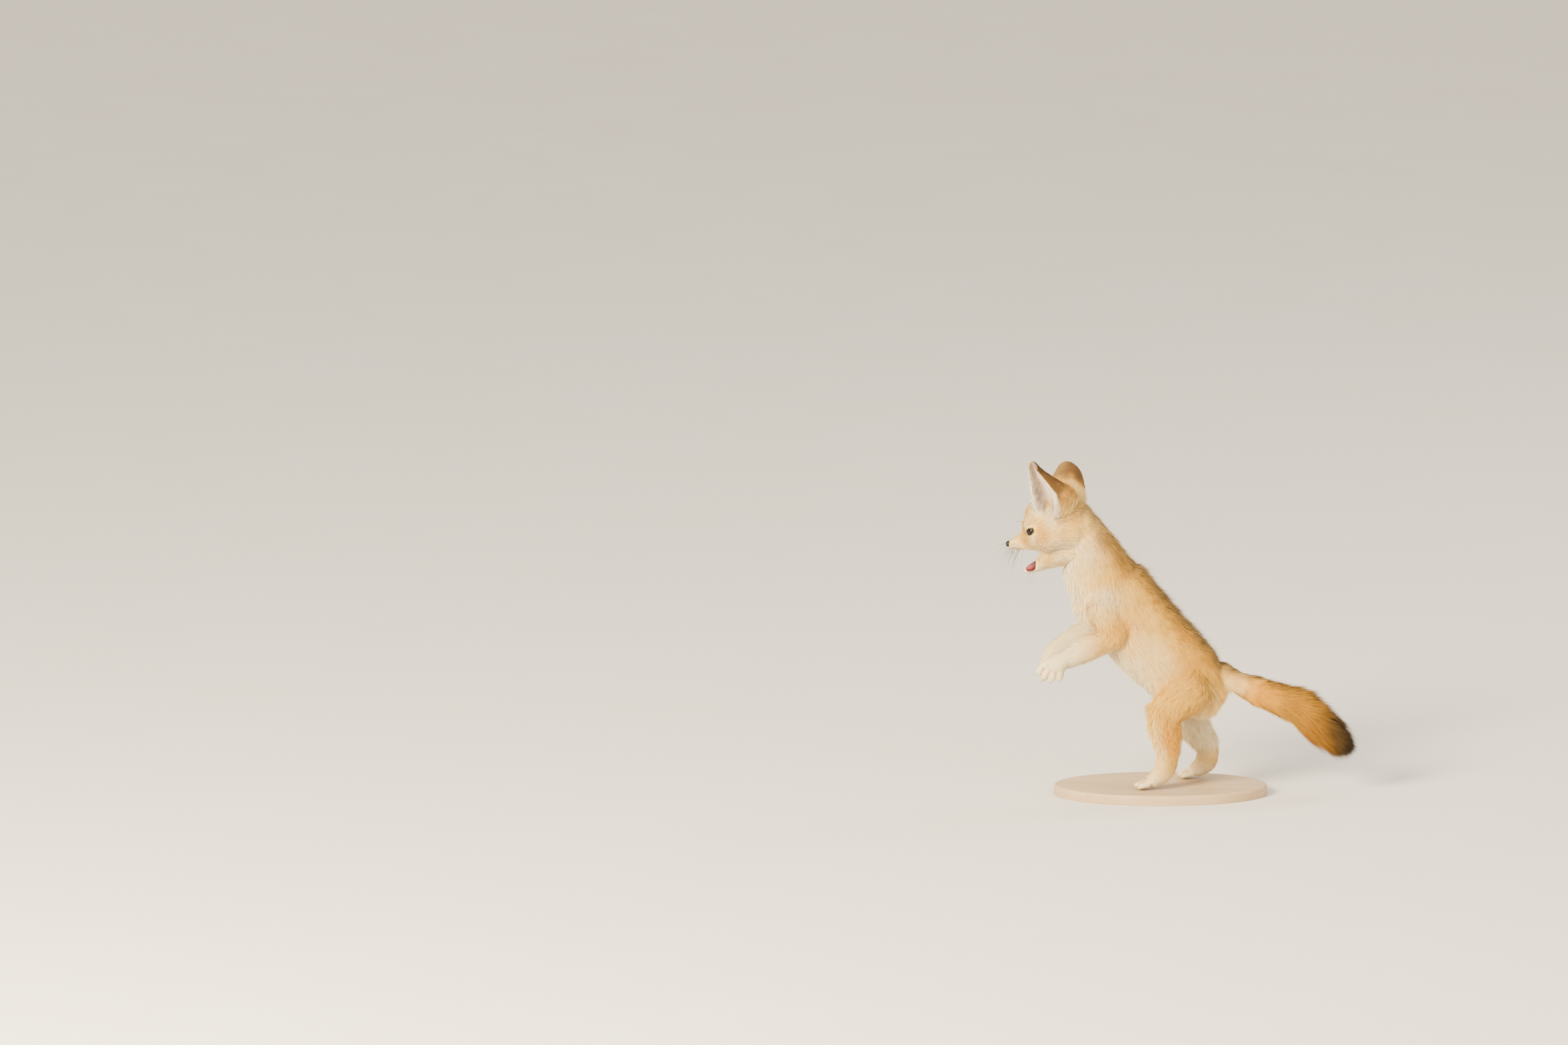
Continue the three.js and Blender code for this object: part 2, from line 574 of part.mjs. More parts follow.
// Outline of the tail's coat from the rump to the last hair of its tip
const TAIL = [
  { at: [0, 57, 116], deep: 11 },
  { at: [0, 71, 109.5], deep: 12 },
  { at: [0, 86, 102.5], deep: 12.5 },
  { at: [0, 101, 96], deep: 13.5 },
  { at: [0, 119, 89], deep: 15 },
  { at: [0, 138, 82], deep: 17 },
  { at: [0, 152, 73.5], deep: 17.8 },
  { at: [0, 166, 62.5], deep: 17 },
  { at: [0, 179, 50.5], deep: 14 },
  { at: [0, 190, 41], deep: 9.5 },
  { at: [0, 201, 35.5], deep: 3 },
];
const tailSpine = new THREE.CatmullRomCurve3(TAIL.map((s) => v(...s.at)), false, "catmullrom");
const tailDepths = new THREE.CatmullRomCurve3(TAIL.map((s) => v(s.deep, 0, 0)), false, "catmullrom");
const tailLength = tailSpine.getLength();
const tailTop = v(0, 0.4, 1);

// Share of the coat's outline that the tail's core fills: all of it at the rump, part of it under the locks
const coreShare = (t) => 1 - (1 - LOCK.core) * THREE.MathUtils.smoothstep(t, 0.2, 0.42);

function tailCore() {
  const stations = TAIL.map((s, i) => {
    const wide = s.deep * coreShare(i / (TAIL.length - 1));
    return { at: s.at, wide, deep: wide };
  });
  return loft(stations, { top: tailTop, sides: 12, rings: 16, caps: [0.4, 1], capRows: 1 });
}

// Point at a share `t` of the tail's length, turned `angle` round it, at a share `out` of the coat's outline;
// past the end of the tail it goes straight on
function tailPoint(t, angle, out) {
  const held = Math.min(t, 1);
  const along = tailSpine.getTangent(held);
  const up = tailTop.clone().addScaledVector(along, -tailTop.dot(along)).normalize();
  const side = up.clone().cross(along);
  const deep = tailDepths.getPoint(held).x;
  return tailSpine
    .getPoint(held)
    .addScaledVector(along, (t - held) * tailLength)
    .addScaledVector(side, Math.cos(angle) * deep * out)
    .addScaledVector(up, Math.sin(angle) * deep * out);
}

// Locks of the brush, in staggered rings that overlap towards the tip: flat, tapered, rooted well inside the core
function tailLocks() {
  const draw = seeded(LOCK.seed);
  const vary = (spread) => 1 + (draw() * 2 - 1) * spread;
  return LOCK.rings.flatMap((start, ring) => {
    const around = 2 * Math.PI * tailDepths.getPoint(start + (0.4 * LOCK.length) / tailLength).x * 0.9;
    const count = Math.round(around / LOCK.spacing);
    return Array.from({ length: count }, (_, i) => {
      const angle = ((i + (ring % 2) / 2) / count) * 2 * Math.PI + (draw() - 0.5) * 0.2;
      const t = start + (draw() - 0.5) * 0.025;
      const reach = (LOCK.length * vary(0.12)) / tailLength;
      const drift = (draw() - 0.5) * 0.3;
      const half = (around / count) * 0.52 * vary(0.1);
      const root = tailPoint(t, angle, coreShare(t) - 0.22);
      const middle = tailPoint(t + reach * 0.5, angle + drift * 0.4, LOCK.middle);
      const tip = tailPoint(t + reach, angle + drift, 0.9);
      const stations = [
        { at: [...root], wide: half * 0.85, deep: LOCK.thick * 0.5 },
        { at: [...middle], wide: half, deep: LOCK.thick * 0.5 },
        { at: [...tip], wide: 0.6, deep: 0.35 },
      ];
      const top = middle.clone().sub(tailPoint(t + reach * 0.5, angle, 0)).normalize();
      return loft(stations, { top, sides: 4, rings: 2, caps: [0.5, 1.5], capRows: 1 });
    });
  });
}

// Thin slab across the tail at a point of its middle line, facing along it
function tailCut([y, z], [alongY, alongZ]) {
  const slab = new THREE.BoxGeometry(60, GAP, 60);
  slab.rotateX(Math.atan2(alongZ, alongY));
  return solid(slab.translate(0, y, z));
}

// Oval board with a rounded upper edge
function baseShape() {
  const outline = new THREE.Shape();
  outline.absellipse(0, 0, BASE.width / 2 - BASE.edge, BASE.length / 2 - BASE.edge, 0, 2 * Math.PI);
  const geometry = new THREE.ExtrudeGeometry(outline, {
    depth: BASE.thick - 2 * BASE.edge,
    curveSegments: 12,
    bevelThickness: BASE.edge,
    bevelSize: BASE.edge,
    bevelSegments: 3,
  });
  return geometry.translate(0, 0, BASE.edge);
}

// The kit, in its own frame
const torso = solid(trunkShape(0));
const torsoClear = solid(trunkShape(GAP));
const headClear = solid(inKit(headShape(GAP)));
const jawClear = solid(inKit(jawShape(GAP)));
const neck = cut(solid(neckShape(0)), [torsoClear, headClear, jawClear]);
const body = [torsoClear, solid(neckShape(GAP))];
const placed = (made) => made.transform(headMatrix.elements);

const kit = new THREE.Group();
kit.position.set(...KIT_AT);
const add = (name, made, material) => {
  const mesh = new THREE.Mesh(geometryOf(made), material);
  mesh.name = name;
  kit.add(mesh);
};

add("torso", torso, coat.golden);
add("neck", neck, coat.cream);
add("head", placed(headSolid()), coat.cream);
add("jaw", placed(jawSolid()), coat.cream);
add("nose", placed(noseSolid()), nosePad);
add("tongue", placed(tongueSolid()), tongueSkin);
const BOTH = { left: 1, right: -1 };
for (const [name, side] of Object.entries(BOTH)) {
  const ear = cut(solid(earShape(side, EAR_POSE[name])), [solid(headShape(GAP))]);
  add(`ear_${name}`, placed(ear), coat.earBack);
  add(`eye_${name}`, placed(solid(eyeballShape(side, EYE.radius))), eyeGlass);
  const front = forelegSolids(FORELEG[name], body);
  add(`upper_arm_${name}`, front.upperArm, coat.golden);
  add(`forearm_${name}`, front.forearm, coat.cream);
  add(`forepaw_${name}`, front.paw, coat.cream);
  front.claws.forEach((claw, i) => add(`foreclaw_${name}_${i + 1}`, claw, clawHorn));
  const hind = hindlegSolids(HINDLEG[name], body);
  add(`thigh_${name}`, hind.thigh, coat.golden);
  add(`shank_${name}`, hind.shank, coat.golden);
  add(`hindfoot_${name}`, hind.foot, coat.cream);
  hind.claws.forEach((claw, i) => add(`hindclaw_${name}_${i + 1}`, claw, clawHorn));
}

// Tail in three lengths, root, brush and tip
const tail = joined([solid(tailCore()), ...tailLocks().map(solid)]).subtract(torsoClear);
const slabs = [tailCut([94, 99], [15, -6.5]), tailCut([172, 57], [13, -12])];
const middleY = (made) => (made.boundingBox().min[1] + made.boundingBox().max[1]) / 2;
const lengths = cut(tail, slabs).decompose().sort((a, b) => b.volume() - a.volume()).slice(0, 3);
const [tailRoot, tailBrush, tailTip] = lengths.sort((a, b) => middleY(a) - middleY(b));
add("tail_root", tailRoot, coat.golden);
add("tail_brush", tailBrush, coat.golden);
add("tail_tip", tailTip, coat.tailTip);

const base = new THREE.Mesh(geometryOf(solid(baseShape())), baseWood);
base.name = "stand_base";

const model = new THREE.Group();
model.add(kit, base);
export default model;
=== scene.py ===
"""A fennec fox kit rearing on its hind legs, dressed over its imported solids.
"""

import math
from collections import namedtuple

import bpy
import numpy as np
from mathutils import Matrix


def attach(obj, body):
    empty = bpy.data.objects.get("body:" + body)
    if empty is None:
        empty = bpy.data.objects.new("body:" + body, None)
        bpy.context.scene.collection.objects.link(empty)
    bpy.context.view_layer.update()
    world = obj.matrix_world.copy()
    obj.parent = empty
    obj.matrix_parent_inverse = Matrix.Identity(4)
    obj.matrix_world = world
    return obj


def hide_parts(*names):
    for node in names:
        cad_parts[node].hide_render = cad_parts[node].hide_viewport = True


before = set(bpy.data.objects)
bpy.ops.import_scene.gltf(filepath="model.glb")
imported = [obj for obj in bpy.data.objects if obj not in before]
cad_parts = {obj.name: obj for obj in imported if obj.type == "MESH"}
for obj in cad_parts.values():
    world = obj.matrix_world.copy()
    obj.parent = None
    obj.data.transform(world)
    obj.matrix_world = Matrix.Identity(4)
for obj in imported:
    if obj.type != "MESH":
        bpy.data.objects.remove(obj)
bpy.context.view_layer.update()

MM = 0.001
NODE_GAP = 0.3
BOARD = {"length": 212, "width": 128, "thick": 10, "edge": 2.5}
KIT_AT = np.array([0.0, -12.0, BOARD["thick"] + NODE_GAP])
SIDES = {1: "left", -1: "right"}
draw = np.random.default_rng(20)


def placed(points):
    return (np.asarray(points, float) + KIT_AT) * MM


# Vectors, curves and closed bodies


def unit(vectors):
    """The vectors at a length of 1."""
    size = np.linalg.norm(vectors, axis=-1, keepdims=True)
    return vectors / np.maximum(size, 1e-9)


def smooth(value, low, high):
    """0 below `low`, 1 above `high`, and a smooth step between."""
    share = np.clip((value - low) / (high - low), 0, 1)
    return share * share * (3 - 2 * share)


def blend(a, b, share):
    """`a` turned into `b` by a share that may differ from point to point."""
    share = np.asarray(share)[..., None]
    return np.asarray(a) * (1 - share) + np.asarray(b) * share


def spline(points, count):
    """Points at even steps on a smooth curve through `points`."""
    p = np.asarray(points, float)
    p = np.vstack([2 * p[0] - p[1], p, 2 * p[-1] - p[-2]])
    t = np.linspace(0, len(points) - 1, count)
    i = np.minimum(t.astype(int), len(points) - 2)
    f = (t - i)[:, None]
    a, b, c, d = p[i], p[i + 1], p[i + 2], p[i + 3]
    bend = (2 * a - 5 * b + 4 * c - d) * f**2 + (3 * b - a - 3 * c + d) * f**3
    return 0.5 * (2 * b + (c - a) * f + bend)


def cross_frames(middle, top):
    """At each point of a curve: the directions along it, sideways and up."""
    along = unit(np.gradient(middle, axis=0))
    top = np.asarray(top, float)
    up = unit(top - along * (along @ top)[:, None])
    return along, np.cross(up, along), up


def tube_faces(rows, sides):
    """Triangles of a tube of `rows` rings whose two poles are its last two points."""
    r, j = np.meshgrid(np.arange(rows - 1), np.arange(sides), indexing="ij")
    a = (r * sides + j).ravel()
    b = (r * sides + (j + 1) % sides).ravel()
    walls = np.vstack([np.c_[a, b, b + sides], np.c_[a, b + sides, a + sides]])
    j = np.arange(sides)
    after = (j + 1) % sides
    last = (rows - 1) * sides
    poles = rows * sides
    start = np.c_[np.full(sides, poles), after, j]
    end = np.c_[last + j, last + after, np.full(sides, poles + 1)]
    return np.vstack([walls, start, end])


def loft(stations, top, sides=30, rows=40, caps=(0.5, 0.5), cap_rows=5):
    """Closed body of oval rings threaded on a smooth curve.

    A station is x, y, z, half width, reach towards `top` and reach away from it, and `caps` rounds the
    two ends.
    """
    curve = spline([s[:6] for s in stations], rows)
    middle, size = curve[:, :3], np.maximum(curve[:, 3:6], 0.15)
    along, side, up = cross_frames(middle, top)
    turns = np.linspace(0, 1, cap_rows, endpoint=False)[1:] * math.pi / 2
    first = [(0, math.sin(k), -caps[0] * math.cos(k)) for k in turns]
    inner = [(r, 1.0, 0.0) for r in range(rows)]
    last = [(rows - 1, math.sin(k), caps[1] * math.cos(k)) for k in turns[::-1]]
    index, scale, slide = map(np.array, zip(*(first + inner + last)))
    index = index.astype(int)
    deep = (size[index, 1] + size[index, 2]) / 2
    centre = middle[index] + along[index] * (deep * slide)[:, None]
    turn = np.linspace(0, 2 * math.pi, sides, endpoint=False)
    lift = np.where(np.sin(turn)[None] > 0, size[index, 1, None], size[index, 2, None])
    out = side[index][:, None] * (size[index, 0, None] * np.cos(turn) * scale[:, None])[..., None]
    rise = up[index][:, None] * (lift * np.sin(turn) * scale[:, None])[..., None]
    rings = (centre[:, None] + out + rise).reshape(-1, 3)
    ends = [0, rows - 1]
    reach = [-caps[0], caps[1]]
    poles = [middle[e] + along[e] * size[e, 1:3].mean() * k for e, k in zip(ends, reach)]
    return np.vstack([rings, poles]), tube_faces(len(index), sides)


def ball(centre, radii, around=48, down=32):
    """Egg-shaped closed body."""
    turn = np.linspace(0, 2 * math.pi, around, endpoint=False)
    fall = np.linspace(0, math.pi, down + 1)[1:-1]
    ring = np.stack([np.cos(turn), np.sin(turn), np.zeros(around)], -1)
    rings = ring[None] * np.sin(fall)[:, None, None]
    rings[..., 2] = -np.cos(fall)[:, None]
    points = np.vstack([rings.reshape(-1, 3), [[0, 0, -1], [0, 0, 1]]])
    return points * np.asarray(radii) + np.asarray(centre), tube_faces(down - 1, around)


def together(bodies):
    """One list of points and one of triangles from several bodies."""
    points, faces, count = [], [], 0
    for p, f in bodies:
        points.append(p)
        faces.append(f + count)
        count += len(p)
    return np.vstack(points), np.vstack(faces)


def mesh_piece(name, points, faces, finishes, smooth_faces=True):
    mesh = bpy.data.meshes.new(name)
    size = faces.shape[1]
    mesh.vertices.add(len(points))
    mesh.vertices.foreach_set("co", placed(points).astype(np.float32).ravel())
    mesh.loops.add(faces.size)
    mesh.loops.foreach_set("vertex_index", faces.astype(np.int32).ravel())
    mesh.polygons.add(len(faces))
    mesh.polygons.foreach_set("loop_start", np.arange(0, faces.size, size, dtype=np.int32))
    mesh.polygons.foreach_set("use_smooth", np.full(len(faces), smooth_faces))
    for finish in finishes:
        mesh.materials.append(finish)
    mesh.update()
    piece = bpy.data.objects.new(name, mesh)
    bpy.context.scene.collection.objects.link(piece)
    return piece


def arrays_of(mesh):
    points = np.empty(len(mesh.vertices) * 3, np.float32)
    mesh.vertices.foreach_get("co", points)
    mesh.calc_loop_triangles()
    faces = np.empty(len(mesh.loop_triangles) * 3, np.int32)
    mesh.loop_triangles.foreach_get("vertices", faces)
    slots = np.empty(len(mesh.loop_triangles), np.int32)
    mesh.loop_triangles.foreach_get("material_index", slots)
    return points.reshape(-1, 3).astype(float) / MM - KIT_AT, faces.reshape(-1, 3), slots


def evaluated(piece):
    """The arrays of a piece with its modifiers applied; the piece itself is removed."""
    graph = bpy.context.evaluated_depsgraph_get()
    mesh = bpy.data.meshes.new_from_object(piece.evaluated_get(graph))
    result = arrays_of(mesh)
    bpy.data.objects.remove(piece)
    return result


def paint_points(piece, name, values):
    """Stores a value or a colour for each point of a piece."""
    kind, key = ("FLOAT_COLOR", "color") if values.ndim == 2 else ("FLOAT", "value")
    if values.ndim == 2:
        values = np.c_[values, np.ones(len(values))]
    layer = piece.data.attributes.new(name, kind, "POINT")
    layer.data.foreach_set(key, values.astype(np.float32).ravel())


def point_normals(points, faces):
    """Outward direction at each point."""
    a, b, c = (points[faces[:, k]] for k in range(3))
    face = np.cross(b - a, c - a)
    total = np.zeros_like(points)
    for axis in range(3):
        for corner in range(3):
            total[:, axis] += np.bincount(faces[:, corner], face[:, axis], len(points))
    return unit(total)


def relaxed(points, faces, share, times):
    """Points drawn towards the middle of their neighbours, each by its own share."""
    pairs = np.vstack([faces[:, [0, 1]], faces[:, [1, 2]], faces[:, [2, 0]]])
    count = np.bincount(pairs[:, 0], minlength=len(points)).astype(float)
    count = np.maximum(count, 1)
    for _ in range(times):
        near = [np.bincount(pairs[:, 0], points[pairs[:, 1], k], len(points)) / count for k in range(3)]
        points = points + (np.stack(near, -1) - points) * share[:, None]
    return points


def on_left(points):
    """The points, with those of the right side mirrored to the left."""
    return np.abs(points) * [1, 0, 0] + points * [0, 1, 1]


NOISE_VALUES = 4096


def ridges(points, scale, seed):
    """Smooth noise between -1 and 1 with features about `scale` millimetres across."""
    table = np.random.default_rng(seed).uniform(-1, 1, NOISE_VALUES)
    at = points / scale + 64.0
    cell = np.floor(at).astype(int)
    f = at - cell
    f = f * f * (3 - 2 * f)
    total = 0.0
    for corner in np.ndindex(2, 2, 2):
        x, y, z = (cell + corner).T
        key = x * 73 + y * 179 + z * 283
        key = (key ^ (key >> 5)) * 37 % NOISE_VALUES
        wx, wy, wz = np.where(corner, f, 1 - f).T
        total = total + table[key] * wx * wy * wz
    return total


HEAD_AT = np.array([0.0, -89.0, 259.0])
HEAD_YAW = math.radians(12)
HEAD_PITCH = math.radians(15)


def turn_x(angle):
    c, s = math.cos(angle), math.sin(angle)
    return np.array([[1, 0, 0], [0, c, -s], [0, s, c]])


def turn_z(angle):
    c, s = math.cos(angle), math.sin(angle)
    return np.array([[c, -s, 0], [s, c, 0], [0, 0, 1]])


HEAD_TURN = turn_z(-HEAD_YAW) @ turn_x(HEAD_PITCH)


def from_head(points):
    return np.asarray(points, float) @ HEAD_TURN.T + HEAD_AT


def to_head(points):
    return (points - HEAD_AT) @ HEAD_TURN


def in_kit(body):
    return from_head(body[0]), body[1]


# Stations of each length of the body: x, y, z, half width, reach up, reach down and length of the hair.
# They follow the outline of the coat, and the skin lies inside it by a share of the hair's length.

TRUNK = [
    (0, 56, 84, 22, 27, 22, 9.5),
    (0, 37, 101, 28.5, 36.5, 30, 10),
    (0, 17, 119, 30.5, 40.5, 32, 10),
    (0, -1, 136, 31, 42.5, 33, 10),
    (0, -18, 154, 31, 44, 33, 10),
    (0, -35, 172, 29.5, 46, 33, 10.5),
    (0, -48, 190, 27.5, 46, 32, 11),
]
NECK = [
    (0, -49, 190, 26.5, 45, 30, 11),
    (0, -58, 212, 26.5, 41, 31, 11.5),
    (0, -64, 236, 25, 31, 29, 10.5),
    (0, -70, 256, 23, 22, 24, 9),
    (0, -76, 270, 18, 16, 20, 7.5),
]
HEAD = [
    (0, 24, 0, 18, 19.5, 17.5, 8),
    (0, 16, 0, 25, 27, 23.5, 7.5),
    (0, 5, -1, 29, 31, 26, 7),
    (0, -8, -2, 30, 32.5, 25, 6.5),
    (0, -18, -3, 27, 32, 20.5, 6),
    (0, -26, -4, 21.5, 28, 16, 4.6),
    (0, -32, -5, 16, 19, 12.5, 3),
    (0, -38, -6, 11.8, 11.5, 10, 2),
    (0, -45, -6.8, 8.8, 8.2, 7.4, 1.7),
    (0, -50.5, -6.2, 6.6, 6, 5.6, 1.4),
    (0, -54, -5.6, 4.6, 4.2, 4.6, 1.2),
]
JAW = [
    (0, 8, -24, 20, 10, 10, 8),
    (0, -6, -25, 20.5, 12, 12.5, 7),
    (0, -18, -27, 17, 10.5, 11.5, 5),
    (0, -28, -30.5, 12.5, 8.6, 8.8, 3.2),
    (0, -36, -33, 8.8, 6, 6.3, 2),
    (0, -42.5, -34.6, 6, 3.9, 4, 1.5),
    (0, -46.5, -35, 3.8, 2.4, 2.4, 1.2),
]
CHEEK = [
    (13, -17.5, -13, 3, 7, 7, 4.2),
    (12, -19.5, -19, 2.8, 7, 7, 3.8),
    (11.2, -21.5, -24.5, 2.6, 6.5, 6.5, 3.4),
    (9.8, -23.4, -30, 2.6, 5.2, 5.2, 3),
]
MOUTH = [
    (0, -15, -21, 6, 3, 2.5),
    (0, -24, -21.5, 8.6, 6, 4),
    (0, -33, -22, 7.4, 8.6, 7.2),
    (0, -41, -22.5, 5.2, 11.6, 10),
    (0, -46, -23, 4.2, 12.6, 10.4),
]
LIP_ROOM = ((0, -37.6, -28.5), (14, 8.6, 8.4))

# The tail is round: x, y, z, half width and length of the hair

TAIL = [
    (0, 57, 116, 11, 8.5),
    (0, 71, 109.5, 12, 9.5),
    (0, 86, 102.5, 12.5, 12),
    (0, 101, 96, 13.5, 15.5),
    (0, 119, 89, 15, 20),
    (0, 138, 82, 17, 24),
    (0, 152, 73.5, 17.8, 26),
    (0, 166, 62.5, 17, 26),
    (0, 179, 50.5, 14, 22),
    (0, 186, 44.5, 10.5, 17),
]

# Limbs: the points of each length. A forepaw also has the ways along and across its toes, and a hind foot
# the place where they start.

FORELEG = {
    1: {
        "upper_arm": [(12, -36, 206), (20, -48, 187), (24.5, -43, 171), (26.5, -34, 158)],
        "forearm": [(26.5, -36, 157), (27, -59, 143), (26.5, -82, 130.5)],
        "forepaw": [(26.5, -81, 131), (28.5, -90, 127.5), (30, -96.6, 122.8)],
        "along": (0.14, -0.42, -0.9),
        "across": (-0.3, -0.94, 0.2),
    },
    -1: {
        "upper_arm": [(-12, -36, 206), (-20, -49, 188), (-24.5, -46, 173), (-26, -41, 160)],
        "forearm": [(-26, -44, 159), (-25.5, -71, 142), (-24, -95, 128)],
        "forepaw": [(-24, -95, 128.5), (-25, -98, 120), (-25.5, -100.5, 113)],
        "along": (-0.08, -0.42, -0.9),
        "across": (-1, 0, 0.09),
    },
}
HINDLEG = {
    1: {
        "thigh": [(19, 45, 106), (25, 27, 93), (28, 11, 78)],
        "shank": [(28, 11, 80), (28.5, 15, 58), (28, 18.5, 36)],
        "hindfoot": [(28, 18, 36), (28.5, 13, 20), (29, 3, 8.5)],
        "toes": (29, -3.5, 5.4),
    },
    -1: {
        "thigh": [(-19, 46, 104), (-25, 40, 88), (-27, 34, 72)],
        "shank": [(-27, 34, 74), (-27.5, 45, 53), (-27.5, 59.5, 32)],
        "hindfoot": [(-27.5, 59.5, 32), (-27.5, 56, 18), (-27.5, 47, 8.5)],
        "toes": (-27.5, 41, 5.4),
    },
}

# At each of those points: half width, reach forward, reach back and length of the hair

LIMB_SIZES = {
    "upper_arm": [(11, 16, 16, 9), (14, 17, 20, 9), (12.5, 14.5, 16, 8), (10.5, 12.5, 12.5, 7)],
    "forearm": [(10.2, 11.8, 11.8, 7.5), (9, 11.2, 11.2, 6.5), (7.6, 9, 9, 5)],
    "forepaw": [(7.8, 8.6, 8.6, 4), (10.4, 8.4, 8.4, 3), (11, 7.4, 7.4, 2.4)],
    "thigh": [(18, 26, 27, 10), (16, 22, 26, 9.5), (12.2, 13, 19, 8.5)],
    "shank": [(11.8, 12.5, 17.5, 9), (10.5, 13, 15, 8.5), (8.4, 10, 11, 5.8)],
    "hindfoot": [(8, 9.5, 11, 5.4), (8, 8.5, 12, 4), (8.6, 6.5, 8, 2.4)],
}
UPWARD = (0, 0, 1)
LIMB_TOP = {
    "upper_arm": (0, -1, 0.2),
    "forearm": UPWARD,
    "thigh": (0, -1, 0.3),
    "shank": (0, -1, 0.3),
    "hindfoot": (0, -1, 1),
}
LIMB_CAPS = {
    "upper_arm": (0.6, 0.8),
    "forearm": (0.7, 0.4),
    "forepaw": (0.6, 0.6),
    "thigh": (0.4, 0.7),
    "shank": (0.6, 0.4),
    "hindfoot": (0.6, 0.5),
}

# Toes: `middle` and `outer` are the shares of the length that the inner and outer pair have. The girths are
# shares of the radius, sideways and upwards, at the root, middle and tip.

TOE = {"radius": 3.5, "length": 11, "middle": 1.12, "outer": 0.9, "spacing": 1.35, "sunk": 3}
TOE_HAIR = 1.8
TOE_GIRTHS = [(0.9, 0.95), (1, 1.05), (0.84, 0.8)]
TOE_CAPS = (0.6, 0.75)
FOREPAW_TOES = {"fan": 0.2, "droop": 1.2, "scale": 1.24}
HINDFOOT_TOES = {"fan": 0.1, "droop": 1.9, "scale": 1}
CLAW = {"radius": 1.1, "length": 4.6}
Length = namedtuple("Length", "name side stations top caps run")


def toe_forms(start, along, across, top, fan, droop, scale):
    """Stations, tip, direction and top of the four toes of a paw, which droop away from `top`."""
    start = np.array(start, float)
    along, across = unit(np.array(along, float)), unit(np.array(across, float))
    droop = np.array(top) * -droop
    radius = TOE["radius"] * scale
    toes = []
    for place in (-1.5, -0.5, 0.5, 1.5):
        point = unit(along + across * place * fan)
        reach = TOE["length"] * scale * TOE["middle" if abs(place) < 1 else "outer"]
        root = start + across * place * radius * TOE["spacing"] - point * TOE["sunk"]
        tip = root + point * reach + droop
        middle = root + (tip - root) * 0.55 - droop * 0.35
        stations = [
            (*at, radius * wide, radius * deep, radius * deep, TOE_HAIR)
            for at, (wide, deep) in zip((root, middle, tip), TOE_GIRTHS)
        ]
        toes.append({"stations": stations, "tip": tip, "point": point, "top": np.cross(across, point)})
    return toes


def paw_top(leg):
    """Upward direction of a forepaw, square to its toes."""
    return np.cross(unit(np.array(leg["across"])), unit(np.array(leg["along"])))


def all_toes():
    """The sixteen toes, by paw name and side."""
    paws = {}
    for side, leg in FORELEG.items():
        ways = leg["along"], leg["across"], paw_top(leg)
        paws["forepaw", side] = toe_forms(leg["forepaw"][-1], *ways, **FOREPAW_TOES)
    for side, leg in HINDLEG.items():
        ways = (0, -1, 0), (-1, 0, 0), UPWARD
        paws["hindfoot", side] = toe_forms(leg["toes"], *ways, **HINDFOOT_TOES)
    return paws


TOES = all_toes()


def head_length(name, side, table, top, caps, run):
    """A length whose stations are given in the head's frame."""
    stations = [(*from_head([s[0] * (side or 1), *s[1:3]]), *s[3:]) for s in table]
    return Length(name, side, stations, HEAD_TURN @ np.array(top), caps, run)


def body_lengths():
    tail = [(x, y, z, deep, deep, deep, hair) for x, y, z, deep, hair in TAIL]
    lengths = [
        Length("trunk", 0, TRUNK, (0, 0.71, 0.7), (0.5, 0.5), -1),
        Length("neck", 0, NECK, (0, 1, 0.35), (0.3, 0.5), -1),
        Length("tail", 0, tail, (0, 0.4, 1), (0.4, 1), 1),
        head_length("head", 0, HEAD, UPWARD, (0.5, 0.35), -1),
        head_length("jaw", 0, JAW, UPWARD, (0.6, 0.6), -1),
    ]
    for side in SIDES:
        lengths.append(head_length("cheek", side, CHEEK, (0, -1, 0), (0.3, 0.3), 1))
        legs = {**FORELEG[side], **HINDLEG[side]}
        for name, caps in LIMB_CAPS.items():
            stations = [(*at, *sizes) for at, sizes in zip(legs[name], LIMB_SIZES[name])]
            top = LIMB_TOP[name] if name in LIMB_TOP else paw_top(legs)
            lengths.append(Length(name, side, stations, top, caps, 1))
        for paw in ("forepaw", "hindfoot"):
            for toe in TOES[paw, side]:
                lengths.append(Length(paw + "_toe", side, toe["stations"], toe["top"], TOE_CAPS, 1))
    return lengths


LENGTHS = body_lengths()

# Shares of the hair's length by which the skin lies inside the coat: at the sides, above and below

HAIR_OFF = {
    "trunk": (0.38, 0.12, 0.38),
    "neck": (0.38, 0.3, 0.75),
    "tail": (0.3, 0.3, 0.3),
    "forearm": (0.15, 0.05, 0.05),
    "forepaw": (0.2, 0.2, 0.2),
    "shank": (0.12, 0.0, 0.0),
    "hindfoot": (0.15, 0.1, 0.1),
}
HAIR_OFF_ELSEWHERE = (0.38, 0.38, 0.38)


def drawn_in(stations, shares):
    """Stations of the skin, from those of the coat."""
    drawn = []
    for s in stations:
        sizes = [max(size - s[6] * share, size * 0.3) for size, share in zip(s[3:6], shares)]
        drawn.append((*s[:3], *sizes))
    return drawn


# Eyes, in the head's frame: beside the root of the muzzle, looking out and forward

EYE = {"radius": 5.2, "side": 15.7, "front": 24.0, "up": 4.2, "long": 9.7, "tall": 7.1}
GAZE_OUT = math.radians(60)
EYE_CANT = math.radians(14)


def eye_axes(side):
    """Corner, upward and gaze directions of an eye, and its middle, in the head's frame."""
    gaze = unit(np.array([side * math.sin(GAZE_OUT), -math.cos(GAZE_OUT), 0.06]))
    level = unit(np.cross(UPWARD, gaze)) * side
    angle = side * EYE_CANT
    corner = level * math.cos(angle) + np.cross(gaze, level) * math.sin(angle)
    upward = np.cross(gaze, corner)
    return np.array([corner, upward, gaze]), np.array([side * EYE["side"], -EYE["front"], EYE["up"]])


